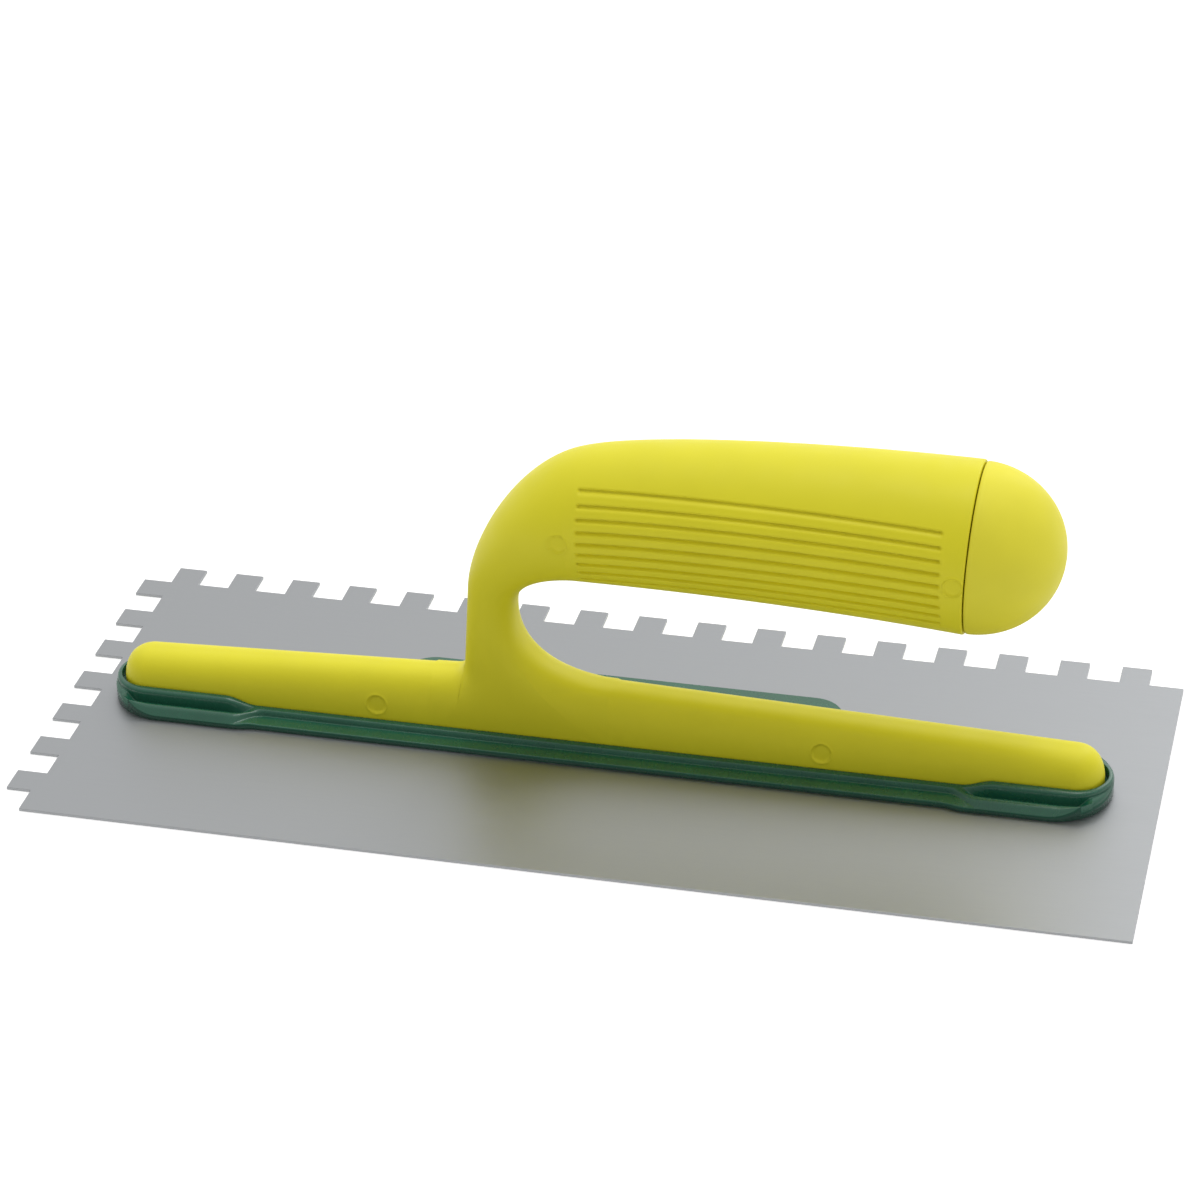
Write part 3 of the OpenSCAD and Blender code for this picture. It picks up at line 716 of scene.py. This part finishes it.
# Pulls of the finger gap's outline beside the neck, as shares of the height that each curve climbs: up
# from the neck, back and down from the grip, down from the neck, and up from the foot.
NECK_UP, GRIP_BACK, NECK_DOWN, FOOT_UP = 0.59, np.array([0.9, 0.014]), 0.595, 0.081
FOOT_BACK = 13.0 * MM  # the same outline's pull along the foot, back towards the neck
JOINT_DROP = 8 * MM  # how far below the bend the neck's rings end and the patch to the foot starts
PATCH_LEFT, PATCH_RIGHT = 9 * MM, 4 * MM  # how far the patch reaches past the neck and the middle
NECK_FILLET = 3.2 * MM  # reach of the round between the foot and the neck's outer side
MOUTH_ROUND = 0.45 * MM  # radius of the grip's open edge
PLUG_PLAY = 0.15 * MM  # gap round the cap's plug


def foot_height(s, x):
    """Height of the foot's top at a place along the blade."""
    neck_low, neck_high = s.neck_x, 0.0
    end = HANDLE_HIGH[0] - FOOT_HALF
    x = np.asarray(x, dtype=float)
    away = np.where(x < neck_low, (neck_low - x) / (end + neck_low),
                    np.where(x > neck_high, (x - neck_high) / (end - neck_high), 0.0))
    return BLADE_TOP + mix(s.foot_neck_h, s.foot_end_h, np.clip(away, 0.0, 1.0))


def leg_section():
    """The foot's half section, evenly spaced, as shares of its half width and of its height."""
    angles = np.radians(np.linspace(90.0, 0.0, LEG_POINTS))
    curve = np.stack([np.cos(angles), np.sin(angles)], axis=1) ** FOOT_POWER
    return resample(curve * FOOT_SHAPE, LEG + 1) / FOOT_SHAPE


def leg(s, x):
    """The foot's half section at a place along the blade, from the top down its front side."""
    out, up = leg_section().T
    low = HANDLE_LOW[2]
    return np.stack([np.full(LEG + 1, x), -FOOT_HALF * out, low + (foot_height(s, x) - low) * up], axis=1)


def pressed(s, points):
    """A grid of points with the ejector pins' marks pressed into its front."""
    front = points.copy()
    for x, z in (*FOOT_PINS, *GRIP_PINS):
        away = np.hypot(points[..., 0] - x, points[..., 2] - BLADE_TOP - z)
        inside = smooth((s.pin_r - away) / PIN_EDGE + 0.5)
        rim = np.exp(-((away - s.pin_r - PIN_RIM / 2) / PIN_RIM) ** 2)
        front[..., 1] += s.pin_d * inside - 0.5 * s.pin_d * rim
    return front


def neck_outlines(s):
    """The outer and inner outlines of the neck and bend in the side view, from the junction up."""
    joint_h = s.neck_top - JOINT_DROP
    lean = s.neck_lean / (s.neck_top - s.foot_neck_h)
    outer_foot = np.array([s.neck_x + lean * (joint_h - s.foot_neck_h), joint_h])
    outer_top = np.array([s.neck_x + s.neck_lean, s.neck_top])
    bend_end = np.array([s.grip_x, s.grip_top])
    outer = np.concatenate([[outer_foot], bezier([
        outer_top, outer_top + (outer_top - (s.neck_x, s.foot_neck_h)) / 2, bend_end - CROWN_PULL,
        bend_end], OUTLINE_POINTS)])
    inner_x = s.neck_x + s.neck_d
    inner_end = np.array([s.grip_x, s.grip_low])
    inner_start = np.array([inner_x, joint_h + 1 * MM])
    climb = inner_end[1] - inner_start[1]
    inner = np.concatenate([[(inner_x, joint_h)], bezier([
        inner_start, inner_start + (0.0, NECK_UP * climb),
        inner_end - GRIP_BACK * climb, inner_end], OUTLINE_POINTS)])
    lift = np.array([0.0, BLADE_TOP])
    return outer + lift, inner + lift


def seam_place(s, out, up):
    """The point of the side view that lies out along the seam's axis from its middle, and up across it."""
    cap = bpy.context.scene.trowel_cap
    cosine, sine = math.cos(s.seam_tilt), math.sin(s.seam_tilt)
    middle_x = CAP_LOW[0] + cap.plug * cosine + cap.plug_r * sine
    return np.array([middle_x + out * cosine + up * sine, BLADE_TOP + s.seam_h - out * sine + up * cosine])


def grip_outlines(s):
    """The grip's back and belly in the side view, from the bend to the seam."""
    top_start = np.array([s.grip_x, s.grip_top + BLADE_TOP])
    low_start = np.array([s.grip_x, s.grip_low + BLADE_TOP])
    top_end, low_end = seam_place(s, 0.0, s.seam_half), seam_place(s, 0.0, -s.seam_half)
    top = bezier([top_start, top_start + CROWN_PULL, top_end + BACK_PULL, top_end], GRIP_POINTS)
    low = bezier([low_start, low_start + BELLY_START_PULL, low_end + BELLY_PULL, low_end], GRIP_POINTS)
    return top, low


def ring(outer, inner, half_width, exponent, angles):
    """Half a ring of the handle's section, from its outer outline round the front to its inner one."""
    middle, half = (outer + inner) / 2, (outer - inner) / 2
    sine, cosine = np.sin(angles), np.abs(np.cos(angles))
    across = np.sign(sine) * np.abs(sine) ** (2 / exponent)
    return np.stack([middle[0] + half[0] * across, -half_width * cosine ** (2 / exponent),
                     middle[1] + half[1] * across], axis=1)


def seam_ring(s, out, radius, half_width, angles):
    """Half a ring about the seam's axis, out along it from the seam's middle."""
    return ring(seam_place(s, out, radius), seam_place(s, out, -radius), half_width, OVAL, angles)


def even_angles():
    """Evenly spaced angles from the top of a ring to its bottom."""
    return np.radians(np.linspace(90.0, -90.0, HALF_RING + 1))


def groove_rows(s, x):
    """The grooves' pitch at a place along the grip, and how far the middle one lies off the middle."""
    along = np.clip((x - s.groove_x0) / (s.groove_x1 - s.groove_x0), 0.0, 1.0)
    return s.groove_pitch * (1.0 + s.groove_fan * along), -s.groove_drop * along


def grooved_angles(s, half, x):
    """Angles whose points fall on the edges and the floors of the grooves."""
    pitch, drop = groove_rows(s, x)
    reach = (s.grooves / 2 + 0.25) * GROOVE_STEPS
    offsets = np.arange(reach, -reach - 0.5, -1.0) * pitch / GROOVE_STEPS + drop
    spare = (HALF_RING + 1 - len(offsets)) // 2
    above = np.linspace(math.pi / 2, math.asin(offsets[0] / half), spare + 1)[:-1]
    below = np.linspace(-math.pi / 2, math.asin(offsets[-1] / half), spare + 1)[:-1]
    return np.concatenate([above, np.arcsin(offsets / half), below[::-1]])


def cut_grooves(s, points, x, middle_z):
    """Presses the grooves into one ring of the grip."""
    pitch, drop = groove_rows(s, x)
    offset = (points[:, 2] - middle_z - drop) / pitch
    nearest = np.round(offset)
    away = np.abs(offset - nearest) * pitch
    profile = 0.5 + 0.5 * np.cos(np.pi * np.clip(away / (0.5 * s.groove_w), 0.0, 1.0))
    profile[np.abs(nearest) > s.grooves // 2] = 0.0
    ends = smooth((x - s.groove_x0) / GROOVE_END + 0.5) * smooth((s.groove_x1 - x) / GROOVE_END + 0.5)
    points[:, 1] += s.groove_d * profile * ends
    return points


def neck_rings(s):
    """Rings up the neck and round the bend, which swell into the grip."""
    outer, inner = neck_outlines(s)
    outer, inner = resample(outer, NECK_RINGS), resample(inner, NECK_RINGS)
    grip_half = (outer[-1, 1] - inner[-1, 1]) / 2
    grooved = grooved_angles(s, grip_half, s.grip_x)
    rings = []
    for k in range(NECK_RINGS):
        swell = float(smooth(k / (NECK_RINGS - 1)))
        half_width = mix(s.neck_w / 2, s.flat * grip_half, swell)
        angles = mix(even_angles(), grooved, swell)
        rings.append(ring(outer[k], inner[k], half_width, mix(NECK_SECTION, OVAL, swell), angles))
    return np.array(rings)


def grip_rings(s):
    """Rings along the grip, then round its open end and into its core."""
    top, low = grip_outlines(s)
    last_x = seam_place(s, -MOUTH_ROUND, 0.0)[0]
    spots = [(s.groove_x0, 1 * MM), (s.groove_x1, 1 * MM)]
    spots += [(x, s.pin_r + PIN_SPACE) for x, _ in GRIP_PINS]
    rings = []
    for x in stations(s.grip_x, last_x, GRIP_STEP, spots):
        # Past the grooves the rings lean over, a little more each, until they lie along the seam.
        lean = s.seam_tilt * float(smooth((x - s.groove_x1) / (last_x - s.groove_x1)))
        shift = s.seam_half * math.sin(lean)
        upper = np.array([x + shift, np.interp(x + shift, top[:, 0], top[:, 1])])
        lower = np.array([x - shift, np.interp(x - shift, low[:, 0], low[:, 1])])
        half = np.linalg.norm(upper - lower) / 2
        angles = grooved_angles(s, half, x)
        points = ring(upper, lower, s.flat * half, OVAL, angles)
        rings.append(cut_grooves(s, points, x, (upper[1] + lower[1]) / 2))
    cap = bpy.context.scene.trowel_cap
    core = cap.plug_r + PLUG_PLAY
    end = []
    for turn in np.radians((22.5, 45.0, 67.5, 90.0)):
        end.append((-MOUTH_ROUND * (1 - math.sin(turn)), half - MOUTH_ROUND * (1 - math.cos(turn))))
    deep = -cap.plug - 1 * MM
    end += [(0.0, half - 1.5 * MM), (0.0, core), (-0.5 * MM, core), (deep, core),
            (deep, 0.5 * core), (deep, POLE)]
    for out, size in end:
        width = size - half * (1 - s.flat) * np.clip((size - core) / (half - core), 0.0, 1.0)
        rings.append(seam_ring(s, out, size, width, angles))
    return np.array(rings)


def junction(s, neck_ring):
    """The patch that carries the foot's sides up into the neck. It is bounded by the foot's sections to
    the left and right of the neck, the foot's bottom edge and the neck's lowest ring."""
    low = HANDLE_LOW[2]
    left_x, right_x = s.neck_x - PATCH_LEFT, PATCH_RIGHT
    left_leg, right_leg = leg(s, left_x), leg(s, right_x)
    across = np.linspace(left_x, right_x, HALF_RING - 2 * LEG + 1)[1:-1]
    bottom = np.stack([across, np.full(len(across), -FOOT_HALF), np.full(len(across), low)], axis=1)
    start = np.concatenate([left_leg, bottom, right_leg[::-1]])
    # The two silhouettes that the patch rises between.
    outer_end, inner_end = neck_ring[0, [0, 2]], neck_ring[-1, [0, 2]]
    corner = np.array([s.neck_x, foot_height(s, s.neck_x)])
    up = (outer_end - corner) / np.linalg.norm(outer_end - corner)
    back = corner - (NECK_FILLET, 0.0)
    back[1] = foot_height(s, back[0])
    left_line = np.concatenate([[(left_x, float(foot_height(s, left_x)))],
                                corner_curve(back, corner, corner + up * NECK_FILLET), [outer_end]])
    run_out = np.array([0.0, foot_height(s, 0.0)])
    drop = inner_end[1] - run_out[1]
    right_curve = bezier([inner_end, inner_end - (0.0, NECK_DOWN * drop),
                          run_out + (-FOOT_BACK, FOOT_UP * drop), run_out], GAP_POINTS)
    right_line = np.concatenate([[(right_x, float(foot_height(s, right_x)))], right_curve[::-1]])
    left, right = resample(left_line, PATCH_ROWS), resample(right_line, PATCH_ROWS)
    u = np.linspace(0.0, 1.0, HALF_RING + 1)[:, None]
    # Each silhouette carries the rows near it along, and its hold fades out towards the other one.
    hold = u ** 3 * (10.0 - 15.0 * u + 6.0 * u * u)
    flat_start, flat_end = start[:, [0, 2]], neck_ring[:, [0, 2]]
    half_neck = np.linalg.norm(outer_end - inner_end) / 2
    rows = [start]
    for k in range(1, PATCH_ROWS - 1):
        v = k / (PATCH_ROWS - 1)
        plane = mix(flat_start, flat_end, v)
        plane = plane + (1 - hold) * (left[k] - mix(left[0], left[-1], v))
        plane = plane + hold * (right[k] - mix(right[0], right[-1], v))
        x, z = plane[:, 0], plane[:, 1]
        depth = np.minimum(distance_to(left_line, x, z), distance_to(right_line, x, z))
        depth[0] = depth[-1] = 0.0
        ease = float(smooth(v))
        round_r = mix(foot_height(s, x) - low, half_neck, ease)
        half_width = mix(FOOT_HALF, s.neck_w / 2, ease)
        y = -half_width * bulge(depth / round_r, mix(PATCH_SECTION, NECK_SECTION, ease))
        rows.append(np.stack([x, y, z], axis=1))
    rows.append(neck_ring)
    return np.array(rows), left_x, right_x


def foot_arm(s, start_x, sign):
    """The foot's sections from the neck out to where the tip starts to turn."""
    end = HANDLE_HIGH[0] - FOOT_HALF
    spots = [(sign * x, s.pin_r + PIN_SPACE) for x, _ in FOOT_PINS]
    places = stations(abs(start_x), end, ARM_STEP, spots)
    return np.array([leg(s, sign * x) for x in places])


def foot_tip(s, sign):
    """A quarter turn of the foot's section about its tip's upright axis."""
    end = HANDLE_HIGH[0] - FOOT_HALF
    section = leg(s, sign * end)
    rows = []
    for turn in np.radians(np.linspace(0.0, 90.0, TIP_ROWS)):
        row = section.copy()
        row[:, 0] = sign * end - sign * section[:, 1] * math.sin(turn)
        row[:, 1] = section[:, 1] * math.cos(turn)
        rows.append(row)
    return np.array(rows)


def build_handle(s):
    """The handle's mesh: neck and grip, the patch below them, and the foot's arms and tips."""
    neck = neck_rings(s)
    patch, left_x, right_x = junction(s, neck[0])
    arms = [foot_arm(s, left_x, -1.0), foot_arm(s, right_x, 1.0)]
    tips = [foot_tip(s, -1.0), foot_tip(s, 1.0)]
    shell = Shell()
    for grid in (np.concatenate([neck, grip_rings(s)[1:]]), patch, *arms, *tips):
        shell.grid(pressed(s, grid))
        shell.grid(grid * (1.0, -1.0, 1.0))
    # The flat underside, from the bottom edge to the centre line.
    edge = np.concatenate([tips[0][::-1, -1], arms[0][::-1, -1], patch[0, LEG:HALF_RING - LEG + 1],
                           arms[1][:, -1], tips[1][:, -1]])
    end = HANDLE_HIGH[0] - FOOT_HALF
    centre = edge.copy()
    centre[:, 0] = np.clip(edge[:, 0], -end, end)
    centre[:, 1] = 0.0
    shell.mirrored(np.stack([edge, centre]))
    return shell.mesh("handle_moulding")


# ---- end cap ----

DOME_RINGS = 56
DOME_POWER = 0.98  # a little under 1, which fills out the dome's shoulder
DOME_ROUND = 0.5 * MM  # radius of the dome's edge at the seam
PLUG_EDGE = 0.4 * MM  # bevel at the plug's end


def build_cap(s, handle):
    """The plug, the flat behind the seam and the dome, turned about the seam's axis."""
    size = handle.seam_half - s.step
    reach = CAP_HIGH[0] - s.inset - seam_place(handle, s.gap, 0.0)[0]
    profile = [(-s.plug, POLE), (-s.plug, 0.5 * s.plug_r), (-s.plug, s.plug_r - PLUG_EDGE),
               (PLUG_EDGE - s.plug, s.plug_r), (s.gap - 0.2 * MM, s.plug_r), (s.gap, s.plug_r),
               (s.gap, size - 2.0 * MM), (s.gap, size - DOME_ROUND)]
    for turn in np.radians((30.0, 60.0)):
        profile.append((s.gap + DOME_ROUND * (1 - math.cos(turn)),
                        size - DOME_ROUND * (1 - math.sin(turn))))
    for turn in np.radians(np.linspace(2.0, 90.0, DOME_RINGS)):
        profile.append((s.gap + reach * math.sin(turn), max(size * math.cos(turn) ** DOME_POWER, POLE)))
    rows = []
    for out, radius in profile:
        flattened = np.clip((radius - s.plug_r) / (size - s.plug_r), 0.0, 1.0) if out <= s.gap else 1.0
        width = radius * mix(1.0, handle.flat, flattened)
        rows.append(seam_ring(handle, out, radius, width, even_angles()[::2]))
    shell = Shell()
    shell.mirrored(rows)
    return shell.mesh("end_cap_moulding")


# ---- stage ----

WHITE = (*linear("#FFFFFF"), 1.0)
# Softboxes: where each stands, its size and its power in watts. They point at the middle of the tool.
SOFTBOXES = {
    "overhead_softbox": ((0.05, 0.12, 1.1), 0.5, 2.3),
    "back_softbox": ((0.4, 1.2, 0.85), 0.6, 2.3),
}
SOFTBOX_AIM = Vector((0.0, 0.0, 0.02))
FLOOR_HALF = 4.0  # half the floor's width
FLOOR_DROP = 0.05 * MM  # how far the floor lies below the blade
FLOOR_GLOW = 0.4  # light that the camera and first reflections see on top of the floor's own
# The world's light: its level at the sides, how it changes towards +X, +Y and +Z, and its least level.
SKY_LEVEL, SKY_SLANT, SKY_LEAST = 0.61, (0.04, 0.44, 0.3), 0.05
MIRRORED_WHITE = 0.35  # how much of the white background first reflections show


def add_floor(s):
    """Adds a wide floor just below the blade, which keeps the shadows."""
    bm = bmesh.new()
    bmesh.ops.create_grid(bm, x_segments=1, y_segments=1, size=FLOOR_HALF)
    mesh = bpy.data.meshes.new("floor")
    bm.to_mesh(mesh)
    bm.free()
    mesh.transform(Matrix.Translation((0.0, 0.0, -FLOOR_DROP)))
    floor = bpy.data.objects.new("floor", mesh)
    bpy.context.scene.collection.objects.link(floor)
    material = new_material("pale_floor", s.floor, {"Roughness": 0.9, "Specular IOR Level": 0.0}, {})
    tree = material.node_tree
    # To the camera and in first reflections the floor is lifted to white, and shadows still darken it.
    lift = add_node(tree, "ShaderNodeMath", {0: shown_white(tree, 1.0), 1: FLOOR_GLOW},
                    operation="MULTIPLY")
    glow = add_node(tree, "ShaderNodeEmission", {"Color": WHITE, "Strength": lift})
    both = add_node(tree, "ShaderNodeAddShader", {0: tree.nodes["Principled BSDF"], 1: glow})
    tree.links.new(both.outputs[0], tree.nodes["Material Output"].inputs["Surface"])
    mesh.materials.append(material)


def shown_white(tree, mirrored_share):
    """How white the room is shown: fully to the camera, by a share in a first reflection, and else not
    at all, so that the white background adds no light to the pieces."""
    path = add_node(tree, "ShaderNodeLightPath").outputs
    shown = add_node(tree, "ShaderNodeMath", {0: path["Ray Depth"], 1: 1.5}, operation="LESS_THAN")
    mirrored = add_node(tree, "ShaderNodeMath", {
        0: path["Is Glossy Ray"], 1: path["Is Transmission Ray"]}, operation="MAXIMUM")
    for value, operation in ((mirrored, "MULTIPLY"), (mirrored_share, "MULTIPLY"),
                             (path["Is Camera Ray"], "MAXIMUM")):
        shown = add_node(tree, "ShaderNodeMath", {0: shown, 1: value}, operation=operation)
    return shown


def add_world(scene):
    """Adds the room: white to the camera and, by a share, in first reflections. As light it is brightest
    above and behind, and falls off towards the front."""
    world = bpy.data.worlds.new("studio")
    world.use_nodes = True
    tree = world.node_tree
    toward = add_node(tree, "ShaderNodeTexCoord").outputs["Generated"]
    slant = add_node(tree, "ShaderNodeVectorMath", {0: toward, 1: SKY_SLANT}, operation="DOT_PRODUCT")
    light = add_node(tree, "ShaderNodeMath", {0: slant.outputs["Value"], 1: SKY_LEVEL}, operation="ADD")
    light = add_node(tree, "ShaderNodeMath", {0: light, 1: SKY_LEAST}, operation="MAXIMUM")
    strength = add_node(tree, "ShaderNodeMapRange", {
        "Value": shown_white(tree, MIRRORED_WHITE), "To Min": light, "To Max": 1.0})
    background = tree.nodes["Background"]
    background.inputs["Color"].default_value = WHITE
    tree.links.new(strength.outputs["Result"], background.inputs["Strength"])
    scene.world = world


def add_softbox(name, place, size, watts):
    """Adds a square area light that points at the aim."""
    light = bpy.data.lights.new(name, "AREA")
    light.shape = "SQUARE"
    light.size = size
    light.energy = watts
    lamp = bpy.data.objects.new(name, light)
    lamp.location = place
    lamp.rotation_euler = (SOFTBOX_AIM - Vector(place)).to_track_quat("-Z", "Y").to_euler()
    bpy.context.scene.collection.objects.link(lamp)


def add_camera(s, scene):
    """Adds the camera, on a circle round the point that it looks at."""
    data = bpy.data.cameras.new("camera")
    data.lens = s.lens
    data.sensor_width = 36.0
    data.clip_start = 0.01
    camera = bpy.data.objects.new("camera", data)
    turn = (Matrix.Rotation(s.azimuth, 4, "Z") @ Matrix.Rotation(math.pi / 2 - s.elevation, 4, "X")
            @ Matrix.Rotation(-s.roll, 4, "Z"))
    place = Vector((0.0, 0.0, s.aim_h)) + turn.to_3x3() @ Vector((0.0, 0.0, s.distance))
    camera.matrix_world = Matrix.Translation(place) @ turn
    scene.collection.objects.link(camera)
    scene.camera = camera


# ---- operators ----


class TROWEL_OT_blade(bpy.types.Operator):
    """Adds the notched blade of satin stainless steel"""
    bl_idname = "trowel.add_blade"
    bl_label = "Add Blade"

    def execute(self, context):
        s, finishes = context.scene.trowel_blade, context.scene.trowel_finishes
        size = BLADE_HIGH - BLADE_LOW
        material = satin_steel(finishes.steel)
        mesh = grown_mesh("blade_sheet", notched_sheet_tree(), {
            "Length": float(size[0]), "Width": float(size[1]), "Thickness": float(size[2]),
            "Pitch": s.pitch, "Tooth": s.tooth, "Depth": s.depth, "Nub": s.nub,
            "Back Notches": int((size[0] - 2 * s.tooth) / s.pitch) + 1,
            "Side Notches": int((size[1] - 2 * s.tooth) / s.pitch),
            "Material": material})
        piece = add_piece(mesh, "notched_blade", material, "blade")
        edge = piece.modifiers.new("broken_edge", "BEVEL")
        edge.width = s.bevel
        edge.segments = 2
        edge.limit_method = "ANGLE"
        return {"FINISHED"}


class TROWEL_OT_base(bpy.types.Operator):
    """Adds the moulded base with its lip, ridges, pockets and wing"""
    bl_idname = "trowel.add_base"
    bl_label = "Add Base"

    def execute(self, context):
        material = base_plastic(context.scene.trowel_finishes.base)
        add_piece(build_base(context.scene.trowel_base), "moulded_base", material, "base")
        return {"FINISHED"}


class TROWEL_OT_handle(bpy.types.Operator):
    """Adds the one-piece handle: foot, neck and grooved grip"""
    bl_idname = "trowel.add_handle"
    bl_label = "Add Handle"

    def execute(self, context):
        scene = context.scene
        material = moulded_plastic("moulded_yellow_polypropylene", scene.trowel_finishes.handle, 0.5, 0.02)
        add_piece(build_handle(scene.trowel_handle), "moulded_handle", material, "handle")
        return {"FINISHED"}


class TROWEL_OT_cap(bpy.types.Operator):
    """Adds the domed cap that closes the grip"""
    bl_idname = "trowel.add_cap"
    bl_label = "Add End Cap"

    def execute(self, context):
        scene = context.scene
        material = moulded_plastic("moulded_cap_polypropylene", scene.trowel_finishes.cap, 0.55, 0.04)
        add_piece(build_cap(scene.trowel_cap, scene.trowel_handle), "domed_end_cap", material,
                  "end_cap")
        return {"FINISHED"}


class TROWEL_OT_fasteners(bpy.types.Operator):
    """Adds the rivets, and gives the screws their finish"""
    bl_idname = "trowel.add_fasteners"
    bl_label = "Add Fasteners"

    def execute(self, context):
        s, finishes = context.scene.trowel_rivets, context.scene.trowel_finishes
        material = turned_metal("headed_aluminium", finishes.rivet, 0.35)
        mesh = grown_mesh("rivets", rivet_row_tree(), {
            "Count": s.count, "Pitch": s.pitch, "Half Row": s.pitch * (s.count - 1) / 2,
            "Shank": s.shank_r, "Head": s.head_r, "Head Height": s.head_h, "Sheet": float(BLADE_TOP),
            "Grip": float(BLADE_TOP + context.scene.trowel_base.floor), "Material": material})
        add_piece(mesh, "blade_rivets_set", material, "blade_rivets")
        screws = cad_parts["handle_screws"]
        screws.material_slots[0].material = turned_metal("zinc_plated_steel", finishes.screw, 0.3)
        return {"FINISHED"}


class TROWEL_OT_stage(bpy.types.Operator):
    """Adds the floor, the soft studio light and the camera"""
    bl_idname = "trowel.add_stage"
    bl_label = "Add Stage"

    def execute(self, context):
        s = context.scene.trowel_stage
        add_floor(s)
        add_world(context.scene)
        for name, (place, size, watts) in SOFTBOXES.items():
            add_softbox(name, place, size, watts)
        add_camera(s, context.scene)
        context.scene.view_settings.view_transform = "Standard"
        return {"FINISHED"}


# ---- add-on ----

OPERATORS = (TROWEL_OT_blade, TROWEL_OT_base, TROWEL_OT_handle, TROWEL_OT_cap, TROWEL_OT_fasteners,
             TROWEL_OT_stage)


class TROWEL_PT_pieces(bpy.types.Panel):
    """Lists the operators that add the trowel's pieces"""
    bl_idname = "TROWEL_PT_pieces"
    bl_label = "Notched Trowel"
    bl_space_type = "VIEW_3D"
    bl_region_type = "UI"
    bl_category = "Trowel"

    def draw(self, context):
        for operator in OPERATORS:
            self.layout.operator(operator.bl_idname)


def register():
    """Registers the groups of settings, the operators and the panel."""
    for name, group in GROUPS.items():
        bpy.utils.register_class(group)
        setattr(bpy.types.Scene, name, PointerProperty(type=group))
    for item in (*OPERATORS, TROWEL_PT_pieces):
        bpy.utils.register_class(item)


def unregister():
    """Takes back what register has added."""
    for item in (TROWEL_PT_pieces, *reversed(OPERATORS)):
        bpy.utils.unregister_class(item)
    for name, group in reversed(GROUPS.items()):
        delattr(bpy.types.Scene, name)
        bpy.utils.unregister_class(group)


def main():
    """Adds every piece and the stage."""
    register()
    for operator in OPERATORS:
        family, name = operator.bl_idname.split(".")
        getattr(getattr(bpy.ops, family), name)()


if __name__ == "__main__":
    main()
